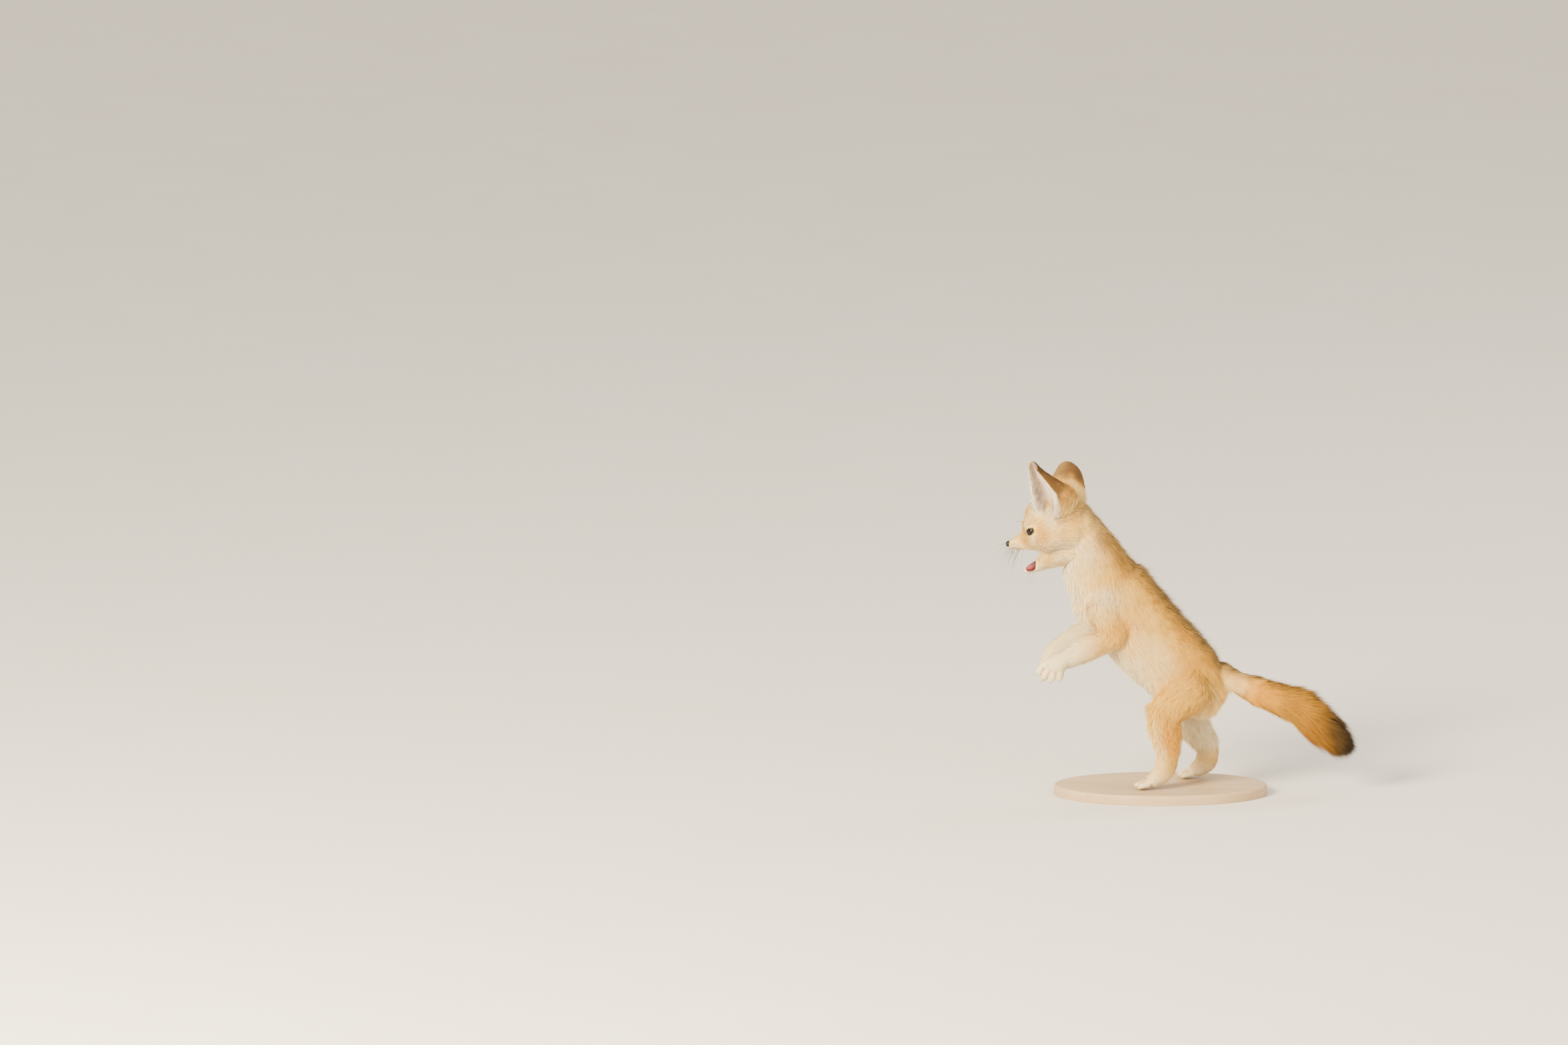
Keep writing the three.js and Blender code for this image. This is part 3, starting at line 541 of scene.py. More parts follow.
def lid_line(count):
    """The almond between the lids, as points across and up."""
    half, rise = EYE["long"] / 2, EYE["tall"] / 2
    t = np.linspace(0, 1, count // 2, endpoint=False)[:, None]

    def bezier(a, b, c, d):
        a, b, c, d = map(np.array, (a, b, c, d))
        return a * (1 - t) ** 3 + 3 * b * t * (1 - t) ** 2 + 3 * c * t**2 * (1 - t) + d * t**3

    low = bezier((-half, 0), (-half * 0.4, -rise * 1.0), (half * 0.35, -rise * 1.25), (half, 0))
    high = bezier((half, 0), (half * 0.4, rise * 0.95), (-half * 0.25, rise * 1.3), (-half, 0))
    return np.vstack([low, high])


def from_eye(points, side):
    axes, middle = eye_axes(side)
    return from_head(points @ axes + middle)


def prism(outline, near, far):
    """Closed body from an outline run along the third axis."""
    count = len(outline)
    low = np.c_[outline, np.full(count, near)]
    high = np.c_[outline, np.full(count, far)]
    middle = outline.mean(0)
    poles = np.array([[*middle, near], [*middle, far]])
    return np.vstack([low, high, poles]), tube_faces(2, count)


# The skin: every length drawn in by its coat, run together, smoothed, then carved. The head's forms are
# pushes, given for the left side: middle, reach and push.

HEAD_FORMS = [
    ((8.5, -36, 3), 6, (-1.6, 1.2, 0)),
    ((12, -29, 12), 7, (1.2, -1.6, 0.6)),
    ((25, -12, -14), 17, (3.2, -1, -1.5)),
    ((25, -6, -24), 15, (-5, 0, 3)),
    ((7.5, -47, -9), 6, (1.5, -0.4, -0.6)),
    ((0, -35.5, 6), 7, (0, 2.2, -1.8)),
    ((0, -33, 15), 13, (0, 4.2, -0.5)),
    ((0, -38, 2), 8, (0, 0, -1.2)),
    ((20, -25, -2), 6, (-1.0, 0.6, 0)),
]


def sculpted(points, forms):
    """Points of the head pushed by forms on both sides."""
    moved = points.copy()
    for (x, y, z), reach, (dx, dy, dz) in forms:
        for side in SIDES if x else (1,):
            gap = np.linalg.norm(points - np.array([x * side, y, z]), axis=1) / reach
            share = np.where(gap < 1, (1 - gap**2) ** 2, 0)
            moved += share[:, None] * np.array([dx * side, dy, dz])
    return moved


# Joins that are smoothed most, on both sides: hip, rump, shoulder and tail root. Each has its middle, its
# reach and how far from the midline it starts.

JOINTS_TO_SOFTEN = [
    ((30, 40, 100), 36, 12),
    ((26, 58, 102), 26, 12),
    ((24, -34, 188), 30, 12),
    ((0, 80, 96), 24, -20),
]
VOXEL = 1.0

# Sides and rows of the closed bodies of flesh

FLESH_GRID = (40, 44)
TOE_GRID = (14, 12)


def flesh_bodies():
    """The closed bodies of all lengths without their coat, and of both eyes with their lids."""
    bodies = []
    for length in LENGTHS:
        sides, rows = TOE_GRID if length.name.endswith("toe") else FLESH_GRID
        stations = drawn_in(length.stations, HAIR_OFF.get(length.name, HAIR_OFF_ELSEWHERE))
        points, faces = loft(stations, length.top, sides, rows, length.caps)
        if length.name == "head":
            points = from_head(sculpted(to_head(points), HEAD_FORMS))
        bodies.append((points, faces))
    for side in SIDES:
        points, faces = ball((0, 0, 0), [EYE["radius"] + 1.0] * 3)
        bodies.append((from_eye(points, side), faces))
    return bodies


def gap_to(points, places):
    """Distance of each point from the nearest of some places."""
    return np.min([np.linalg.norm(points - np.array(at, float), axis=1) for at in places], axis=0)


def calmed(points, faces):
    """The surface with its joins smoothed, least at the face and feet and most at the big joints."""
    face = smooth(-to_head(points)[:, 1], 8, 24) * smooth(points[:, 2], 205, 225)
    paw_gap = gap_to(points, [leg["forepaw"][-1] for leg in FORELEG.values()])
    feet = np.maximum(1 - smooth(points[:, 2], 12, 30), 0.55 - 0.55 * smooth(paw_gap, 12, 24))
    points = relaxed(points, faces, 0.55 - 0.35 * np.maximum(face, feet), times=9)
    eye_gap = gap_to(to_head(points), [eye_axes(side)[1] for side in SIDES])
    points = relaxed(points, faces, 0.5 * smooth(eye_gap, 8, 22) * (1 - feet), times=6)
    left = on_left(points)
    for joint, reach, inner in JOINTS_TO_SOFTEN:
        share = 0.62 * (1 - smooth(gap_to(left, [joint]), reach * 0.6, reach))
        share = share * smooth(left[:, 0], inner, inner + 8)
        near = faces[(share[faces] > 0).all(1)]
        touched = np.isin(np.arange(len(points)), near)
        points = relaxed(points, near, share * touched, times=70)
    points[:, 2] = np.maximum(points[:, 2], 0.05)
    return points


def run_together():
    """One closed surface round all the flesh."""
    piece = mesh_piece("flesh", *together(flesh_bodies()), [])
    remesh = piece.modifiers.new("Run together", "REMESH")
    remesh.mode = "VOXEL"
    remesh.voxel_size = VOXEL * MM
    points, faces, _ = evaluated(piece)
    return calmed(points, faces), faces


def outward(body):
    """The body with its faces turned outwards."""
    points, faces = body
    a, b, c = (points[faces[:, k]] for k in range(3))
    volume = np.einsum("ij,ij->i", a, np.cross(b, c)).sum()
    return (points, faces[:, ::-1].copy()) if volume < 0 else body


def mouth_and_sockets():
    """Bodies to cut from the flesh, with the number of the material that lines each cut."""
    cutters = [(in_kit(loft(MOUTH, UPWARD, 48, 48, (0.5, 0.12))), 1), (in_kit(ball(*LIP_ROOM)), 1)]
    for side in SIDES:
        points, faces = ball((0, 0, 0), [EYE["radius"] + 0.25] * 3, 64, 48)
        cutters.append(((from_eye(points, side), faces), 2))
        points, faces = prism(lid_line(64), 0.0, 14.0)
        cutters.append(((from_eye(points, side), faces[:, ::side]), 2))
    return cutters


def carved(points, faces):
    """The skin with its mouth and eye sockets cut; material 1 lines the mouth and 2 the sockets."""
    lining = [bpy.data.materials.new(n) for n in ("outside", "mouth inside", "socket inside")]
    piece = mesh_piece("flesh", points, faces, lining)
    tools = []
    for body, slot in mouth_and_sockets():
        tools.append(mesh_piece("cutter", *outward(body), [lining[slot]]))
        cut = piece.modifiers.new("Cut", "BOOLEAN")
        cut.operation = "DIFFERENCE"
        cut.solver = "MANIFOLD"
        cut.material_mode = "TRANSFER"
        cut.object = tools[-1]
    result = evaluated(piece)
    for tool in tools:
        bpy.data.objects.remove(tool)
    return result


# Ears: a thin sheet that opens from a rolled root to a deep cup, in the head's frame

EAR = {"length": 65, "side": 15.5, "front": -3.5, "up": 17, "tip_slope": 11}

# Pose of each ear: which way it points, and by how many degrees its cup is turned out at root and tip

EAR_POSE = {
    1: {"out": 0.42, "back": 0, "up": 0.91, "turned": (54, 38)},
    -1: {"out": 0.82, "back": 0.2, "up": 0.52, "turned": (72, 60)},
}

# Along an ear: half width, depth and half the angle by which its cup stays open

EAR_SECTIONS = [
    (12.5, 15.5, 30),
    (15, 18, 44),
    (16.2, 17, 57),
    (16, 15, 66),
    (14.6, 12.6, 72),
    (12.4, 10.4, 76),
]
EAR_THICK = {"root": 1.25, "less_at_tip": 0.55, "thinned_at_rim": 0.45}
EAR_GRID = (64, 64)

# What only the left ear has, as pairs of a place along it and a value: the degrees by which its rear rim
# opens wider, the swell of its rear, and its slimness

REAR_OPENED = ((0, 0), (0.3, 0), (0.45, 14), (0.6, 30), (0.8, 46), (0.92, 40), (1, 10))
REAR_SWELL = ((0, 1.1), (0.3, 1.16), (0.45, 1.08), (0.62, 0.93), (0.8, 0.72), (0.9, 0.7), (1, 0.8))
SLIMNESS = ((0, 1), (0.3, 0.97), (0.5, 0.86), (0.7, 0.8), (0.85, 0.8), (1, 0.85))


def read_off(pairs, t):
    """Value at `t` of a broken line through pairs."""
    return np.interp(t, *zip(*pairs))


def ear_sheet(side, rows, columns):
    """Middle surface of an ear: places, outward directions, the way to the tip, and the shares t and s.

    `t` runs from 0 at the root to 1 at the tip, and `s` from -1 at the front rim to 1 at the rear one.
    """
    pose = EAR_POSE[side]
    axis = unit(np.array([side * pose["out"], pose["back"], pose["up"]], float))
    ahead = np.array([0.0, -1, 0])
    ahead = unit(ahead - axis * (ahead @ axis))
    outer = np.cross(ahead, axis) * -side
    root = np.array([side * EAR["side"], -EAR["front"], EAR["up"]])
    sizes = spline(EAR_SECTIONS, rows)
    t = np.linspace(0, 1, rows)[:, None]
    s = np.linspace(-1, 1, columns)[None]
    across, deep, opening = (sizes[:, k, None] for k in range(3))
    rounded = np.sqrt(1 - (np.clip((t - 0.72) / 0.28, 0, 1) * 0.97) ** 2)
    across, deep = across * rounded, deep * rounded
    opening = np.radians(opening)
    if side > 0:
        opening = opening + np.radians(read_off(REAR_OPENED, t)) * np.clip(s, 0, 1)
    first, last = pose["turned"]
    turn = np.radians(first + (last - first) * t) + math.pi - s * (math.pi - opening)
    dip = 2.5 * s * s * np.sin(math.pi * t) + EAR["tip_slope"] * t**3 * (1 + s) / 2 + 2.2 * t**6
    place = root + axis * (t * EAR["length"] - dip)[..., None]
    place = place + outer * (across * np.sin(turn))[..., None]
    place = place + ahead * (deep * np.cos(turn) + 4 * t * t)[..., None]
    if side > 0:
        front = place[..., 1].min(1, keepdims=True)
        place[..., 1] = front + (place[..., 1] - front) * read_off(REAR_SWELL, t)
        edge = place[:, :1]
        place = edge + (place - edge) * read_off(SLIMNESS, t)[..., None]
    up = unit(np.gradient(place, axis=0))
    out = unit(np.cross(up, np.gradient(place, axis=1))) * side
    grid = np.ones_like(turn)
    return place, out, up, t * grid, s * grid


def sheet_faces(rows, columns):
    """Triangles of a closed sheet: a grid for its back, one for its front, and walls round them."""
    count = rows * columns
    r, c = np.meshgrid(np.arange(rows - 1), np.arange(columns - 1), indexing="ij")
    a = (r * columns + c).ravel()
    b, d = a + 1, a + columns
    e = d + 1
    back = np.vstack([np.c_[a, d, e], np.c_[a, e, b]])
    down = np.arange(rows) * columns
    along = np.arange(columns)
    edges = ((down, 1), (down + columns - 1, -1), (along, -1), (along + count - columns, 1))
    walls = []
    for line, way in edges:
        p, q = line[:-1], line[1:]
        walls += [np.c_[p, p + count, q + count][:, ::way], np.c_[p, q + count, q][:, ::way]]
    return np.vstack([back, back[:, ::-1] + count, *walls])


def ear_body(side):
    place, out, up, t, s = ear_sheet(side, *EAR_GRID)
    thick = EAR_THICK["root"] - EAR_THICK["less_at_tip"] * t
    thick = thick * (1 - EAR_THICK["thinned_at_rim"] * np.abs(s) ** 6)
    front = place - out * (thick / 2)[..., None]
    back = place + out * (thick / 2)[..., None]
    fold = 0.8 * np.exp(-(((s - 0.15) / 0.09) ** 2)) + 0.7 * np.exp(-(((s + 0.35) / 0.1) ** 2))
    front = front - out * (fold * smooth(0.62 - t, 0, 0.4))[..., None]
    points = np.vstack([back.reshape(-1, 3), front.reshape(-1, 3)])
    faces = sheet_faces(*EAR_GRID)
    if side < 0:
        faces = faces[:, ::-1].copy()
    grid = {
        "t": np.tile(t.ravel(), 2),
        "s": np.tile(s.ravel(), 2),
        "back": np.repeat([1.0, 0.0], t.size),
        "flow": np.tile(unit(up).reshape(-1, 3) @ HEAD_TURN.T, (2, 1)),
    }
    return from_head(points), faces, grid


# Lie of the coat: what each length of the body says about the hair on it. A row of the table has a place,
# the three directions there, how far the length reaches along each, and the hair's flow and length.

LIE_COLUMNS = {
    "at": slice(0, 3),
    "along": slice(3, 6),
    "across": slice(6, 9),
    "up": slice(9, 12),
    "reach": 12,
    "wide": 13,
    "above": 14,
    "below": 15,
    "flow": slice(16, 19),
    "hair": 19,
    "place": 20,
    "number": 21,
}


def lie_table():
    """Rows that say, at a few places along each length, how big it is and how its hair lies."""
    tables = []
    for number, length in enumerate(LENGTHS):
        count = 5 if length.name.endswith("toe") else 16
        curve = spline(length.stations, count)
        middle, wide, above, below, hair = (curve[:, k] for k in (slice(0, 3), 3, 4, 5, 6))
        along, across, up = cross_frames(middle, length.top)
        step = np.linalg.norm(middle[-1] - middle[0]) / count
        reach = np.maximum(step * 1.5, wide * 0.7)
        place = np.arange(count) / (count - 1)
        columns = (middle, along, across, up, reach, wide, above, below, along * length.run, hair, place)
        tables.append(np.column_stack([*columns, np.full(count, number)]))
    return np.vstack(tables)


LIE = lie_table()
NAMES = np.array([length.name for length in LENGTHS])


def lie_column(name):
    """A named column of the lie table."""
    return LIE[:, LIE_COLUMNS[name]]


# Groups of lengths that share one way of colouring

GROUPS = ["head", "jaw", "neck", "trunk", "arm", "forepaw", "thigh", "hindfoot", "tail"]
GROUP_OF = {
    "cheek": "jaw",
    "upper_arm": "arm",
    "forearm": "arm",
    "forepaw_toe": "forepaw",
    "shank": "thigh",
    "hindfoot_toe": "hindfoot",
}


def group_table():
    """For each row of the lie table, 1 in the column of its group."""
    names = NAMES[lie_column("number").astype(int)]
    return np.array([[float(GROUP_OF.get(n, n) == g) for g in GROUPS] for n in names])


IN_GROUP = group_table()

# Points that are compared with all rows at a time

CHUNK = 4000


def lie_at(points):
    """How the hair lies at each point, from the rows of the lie table that are near it.

    The result has flow, hair length, upward direction, nearest length, place along it, turn round it and
    the shares of the groups.
    """
    result = {key: [] for key in ("flow", "hair", "up", "number", "along", "turn", "share")}
    for start in range(0, len(points), CHUNK):
        p = points[start : start + CHUNK]
        gap = p[:, None] - lie_column("at")[None]
        a = np.einsum("ijk,jk->ij", gap, lie_column("along")) / lie_column("reach")
        b = np.einsum("ijk,jk->ij", gap, lie_column("across")) / lie_column("wide")
        c = np.einsum("ijk,jk->ij", gap, lie_column("up"))
        c = c / np.where(c > 0, lie_column("above"), lie_column("below"))
        far = a * a + b * b + c * c
        near = far.min(1, keepdims=True)
        weight = np.exp((near - far) * 2.0)
        weight /= weight.sum(1, keepdims=True)
        share = np.exp((near - far) * 2.2) @ IN_GROUP
        result["share"].append(share / share.sum(1, keepdims=True))
        best = far.argmin(1)
        pick = np.arange(len(p))
        result["flow"].append(weight @ lie_column("flow"))
        result["hair"].append(weight @ lie_column("hair"))
        result["up"].append(weight @ lie_column("up"))
        result["number"].append(lie_column("number")[best].astype(int))
        result["along"].append(lie_column("place")[best])
        result["turn"].append(np.arctan2(c[pick, best], b[pick, best]))
    return {key: np.concatenate(value) for key, value in result.items()}


# Colours of the coat


def paint(code):
    """Linear colour from a hexadecimal one."""
    value = np.array([int(code[k : k + 2], 16) / 255 for k in (0, 2, 4)])
    return np.where(value <= 0.04045, value / 12.92, ((value + 0.055) / 1.055) ** 2.4)


SNOW = paint("f3e3bb")
CREAM = paint("efd08a")
PALE_GOLD = paint("e9ba4f")
GOLD = paint("d99b2c")
TAIL_GOLD = paint("ad7a22")
OCHRE = paint("9c6a21")
OLIVE = paint("a1834f")
SPINE = paint("6a5236")
EAR_SAND = paint("e6c272")
EAR_GOLD = paint("d09c4c")
EAR_BROWN = paint("74532f")
TIP_BROWN = paint("5c4525")
TIP_DARK = paint("30251a")
BLACK_SKIN = paint("1f1510")
LIP_SKIN = paint("4a332a")
# painted shade laid into the creases between the toes
TOE_CREASE_SHADE = paint("b9825e")
MUZZLE_GOLD = paint("d39a3a")
TICKING = paint("6e5538")
EAR_PINK = paint("eeb9a2")
EAR_PALE = paint("fdeadb")
EAR_FRINGE = paint("f8ead9")
EAR_RIM = paint("f4ead8")
MOUTH_PINK = paint("c47b78")
# painted shade: the dark red that the mouth's lining turns towards the throat
THROAT_SHADE = paint("47191a")

# Marks on the coat, given for the left side: middle, reach, colour and strength. The body's first three
# also mark the forelegs, and its fifth to ninth the thighs.

BODY_MARKS = [
    ((27, -34, 162), 17, GOLD, 0.85),
    ((25, -45, 196), 19, SNOW, 0.75),
    ((29, -14, 172), 13, GOLD, 0.55),
    ((31, 3, 150), 16, CREAM, 0.75),
    ((31, 36, 132), 24, GOLD, 0.85),
    ((30, 14, 164), 14, PALE_GOLD, 0.6),
    ((38, 12, 107), 13, GOLD, 0.8),
    ((36, 44, 96), 16, PALE_GOLD, 0.7),
    ((26, 66, 96), 14, CREAM, 0.6),
    ((24, -12, 126), 16, SNOW, 0.6),
    ((24, -62, 240), 22, SNOW, 0.6),
    ((30, -3, 179), 14, CREAM, 0.6),
    # painted light: the hollow of the rump is paled where it lies in shade
    ((30, 53, 113), 14, PALE_GOLD, 0.6),
]
ARM_MARKS = BODY_MARKS[:3]
THIGH_MARKS = BODY_MARKS[4:9]
HEAD_MARKS = [
    ((0, 4, 31), 17, PALE_GOLD, 0.8),
    ((9, -18, 27), 13, PALE_GOLD, 0.75),
    ((22, 10, 22), 14, GOLD, 0.75),
    ((28, 20, 3), 17, PALE_GOLD, 0.9),
    ((25, 25, 14), 11, GOLD, 0.6),
    ((0, 26, 12), 16, OLIVE, 0.7),
    ((23, -5, 17), 8, SNOW, 0.9),
    ((27, -5, 8), 7, SNOW, 0.7),
    ((24.5, -17, 4), 8, GOLD, 0.75),
    ((27, -13, -5), 8, GOLD, 0.6),
    ((29, 3, -8), 12, PALE_GOLD, 0.8),
    ((20, -28, -8), 6, SNOW, 0.7),
    ((11.5, -36.5, -4), 9, MUZZLE_GOLD, 0.85),
    # painted light: the lower rear cheek is whitened where it faces down, away from the lamps
    ((28, -2, -15), 12, SNOW, 0.5),
    ((7, -38, 4), 6, PALE_GOLD, 0.7),
    ((14, -31, 9), 4.5, SNOW, 0.9),
    ((9, -46, -9), 6, SNOW, 0.85),
    ((0, -47, 1), 4, PALE_GOLD, 0.6),
    ((0, -29, 17), 9, SNOW, 0.6),
]
JAW_MARKS = [((14, -19, -26), 9, PALE_GOLD, 0.95), ((13, -8, -34), 8, PALE_GOLD, 0.7)]


def dabbed(tint, points, marks):
    """Colours with soft round marks on both sides."""
    left = on_left(points)
    for middle, reach, colour, strength in marks:
        gap = gap_to(left, [middle]) / reach
        tint = blend(tint, colour, np.exp(-(gap**2) * 2) * strength)
    return tint


def ramped(value, *stops):
    """Colours that pass smoothly through pairs of a value and a colour."""
    tint = np.tile(stops[0][1], (len(value), 1))
    for (low, _), (high, colour) in zip(stops, stops[1:]):
        tint = blend(tint, colour, smooth(value, low, high))
    return tint


def toe_gaps(points):
    """How far each point lies in the crease between two toes, where the paws get painted shade."""
    creases = np.zeros(len(points))
    for toes in TOES.values():
        ways, shares = [], []
        for toe in toes:
            root = np.array(toe["stations"][0][:3], float)
            line = toe["tip"] - root
            share = (points - root) @ line / (line @ line)
            beside = points - root - np.clip(share, 0, 1)[:, None] * line
            ways.append(np.linalg.norm(beside, axis=1))
            shares.append(share)
        nearest, second = np.sort(np.stack(ways), axis=0)[:2]
        crease = (1 - smooth(second - nearest, 0.4, 2.2)) * (1 - smooth(nearest, 5, 8))
        creases = np.maximum(creases, crease * smooth(np.max(shares, axis=0), 0.15, 0.45))
    return creases


class Spots:
    """Points of the coat and what its colours depend on there, with a slow wander in each."""

    def __init__(self, points, normals, lie):
        self.points = points
        self.wander = ridges(points, 14, 5) * 0.13 + ridges(points, 5, 6) * 0.1
        self.high = np.einsum("ij,ij->i", normals, unit(lie["up"])) + self.wander
        self.outer = normals[:, 0] * np.sign(points[:, 0]) + self.wander
        self.rear = normals[:, 1] + self.wander
        self.level = points[:, 2]
        self.middle = np.abs(points[:, 0]) + self.wander * 12
        self.line = 1 - smooth(self.middle, 2, 14)
        self.local = to_head(points)
        self.along = lie["along"] + self.wander * 0.15
        # 1 on the left and 0.15 on the right: the right leg and heel lose most of their gold, as painted
        #                                      light where the body shades them
        self.near = np.where(points[:, 0] > 0, 1.0, 0.15)
        # where the creases between the toes get painted shade
        self.creases = toe_gaps(points)


def head_tint(at):
    tint = ramped(at.local[:, 2] + at.wander * 20, (-20, SNOW), (-6, CREAM), (30, CREAM))
    return dabbed(tint, at.local, HEAD_MARKS)


def jaw_tint(at):
    return dabbed(ramped(at.high, (-0.8, SNOW), (0.2, CREAM)), at.local, JAW_MARKS)


def neck_tint(at):
    tint = ramped(at.high, (-0.8, SNOW), (-0.2, CREAM), (0.25, PALE_GOLD), (0.7, GOLD))
    tint = dabbed(tint, at.points, BODY_MARKS)
    return blend(tint, OLIVE, smooth(at.high, 0.2, 0.8) * (0.55 + 0.35 * at.line))


def trunk_tint(at):
    """White below and golden above, with an olive saddle and a brown line down the spine."""
    stops = [(-0.9, SNOW), (-0.35, CREAM), (0.05, CREAM), (0.45, PALE_GOLD), (0.8, GOLD)]
    tint = dabbed(ramped(at.high, *stops), at.points, BODY_MARKS)
    saddle = smooth(at.high, 0.45, 0.95)
    wide = saddle * (1 - smooth(at.middle, 6, 20)) * smooth(at.level, 88, 128)
    tint = blend(tint, OLIVE, wide * 0.85)
    return blend(tint, SPINE, saddle * at.line * smooth(at.level, 98, 135) * (0.62 + at.wander))


def arm_tint(at):
    gold = smooth(at.outer, -0.3, 0.5) * (1 - smooth(-at.points[:, 1], 36, 76))
    return dabbed(blend(SNOW, PALE_GOLD, gold * 0.95), at.points, ARM_MARKS)


def forepaw_tint(at):
    # painted shade darkens the creases between the toes
    return blend(SNOW, TOE_CREASE_SHADE, at.creases * 0.75)


def thigh_tint(at):
    """Pale, with a golden flank above and a golden band down the rear of the legs; the right leg keeps
    little of the band, painted paler as painted light where the body shades it.
    """
    pale = blend(SNOW, CREAM, smooth(at.outer, -0.2, 0.4))
    tint = blend(pale, PALE_GOLD, smooth(at.outer, -0.2, 0.5) * smooth(at.level, 45, 85))
    shank = smooth(at.level, 10, 24) * (1 - 0.75 * smooth(at.level, 60, 86))
    band = smooth(at.rear, -0.5, 0.1) * (1 - 0.7 * smooth(at.rear, 0.5, 0.95))
    band = band * smooth(at.outer, -0.5, 0.1)
    tint = blend(tint, GOLD, band * at.near * shank * 0.95)
    return dabbed(tint, at.points, THIGH_MARKS)


def hindfoot_tint(at):
    tint = ramped(at.level, (0, SNOW), (26, CREAM))
    # the right heel keeps little gold, as painted light
    heel = smooth(at.rear, 0.0, 0.4) * at.near * smooth(at.level, 10, 28)
    tint = blend(tint, PALE_GOLD, heel * 0.75)
    # painted shade darkens the creases between the toes
    return blend(tint, TOE_CREASE_SHADE, at.creases * 0.6)


def tail_tint(at):
    """Golden brown that darkens to the tip, with a dark streak on top of the root."""
    stops = [(0.0, CREAM), (0.14, CREAM), (0.32, GOLD), (0.5, TAIL_GOLD), (0.72, OCHRE)]
    tint = ramped(at.along, *stops)
    below = smooth(-at.high, 0.3, 0.95) * 0.35 * (1 - smooth(at.along, 0.5, 0.7))
    tint = blend(tint, PALE_GOLD, below)
    top = smooth(at.high, -0.1, 0.6) * (1 - smooth(at.along, 0.1, 0.3))
    tint = blend(tint, GOLD, top * 0.5)
    tint = blend(tint, OLIVE, top * smooth(at.high, 0.3, 0.9) * 0.6)
    streak = smooth(at.high, 0.6, 0.95) * (1 - smooth(at.middle, 2, 8)) * smooth(at.along, -0.02, 0.06)
    tint = blend(tint, SPINE, streak * (1 - 0.6 * smooth(at.along, 0.34, 0.6)) * 0.9)
    tint = blend(tint, TIP_BROWN, smooth(at.along + 0.12 * at.high, 0.64, 0.8))
    return blend(tint, TIP_DARK, smooth(at.along + 0.08 * at.high, 0.8, 0.93))


GROUP_TINTS = {
    "head": head_tint,
    "jaw": jaw_tint,
    "neck": neck_tint,
    "trunk": trunk_tint,
    "arm": arm_tint,
    "forepaw": forepaw_tint,
    "thigh": thigh_tint,
    "hindfoot": hindfoot_tint,
    "tail": tail_tint,
}


def coat_tint(points, normals, lie):
    """Colour of the coat at each point of the skin, mixed from the groups by their shares."""
    at = Spots(points, normals, lie)
    layers = np.stack([GROUP_TINTS[group](at) for group in GROUPS], 1)
    return np.einsum("ij,ijk->ik", lie["share"], layers)


# Finishes


def rgba(colour):
    """A colour, or the colour of a code, that nothing shows through."""
    return (*(paint(colour) if isinstance(colour, str) else colour), 1.0)


class Value:
    """A number in a material, whose arithmetic adds Math nodes."""

    def __init__(self, finish, socket):
        self.finish = finish
        self.socket = socket

    def _math(self, operation, first, second):
        node = self.finish.node("ShaderNodeMath", {"operation": operation}, {0: first, 1: second})
        return Value(self.finish, node.outputs[0])

    def __add__(self, other):
        return self._math("ADD", self, other)

    def __mul__(self, other):
        return self._math("MULTIPLY", self, other)

    def __sub__(self, other):
        return self._math("SUBTRACT", self, other)

    def __rsub__(self, other):
        return self._math("SUBTRACT", other, self)

    __radd__ = __add__
    __rmul__ = __mul__


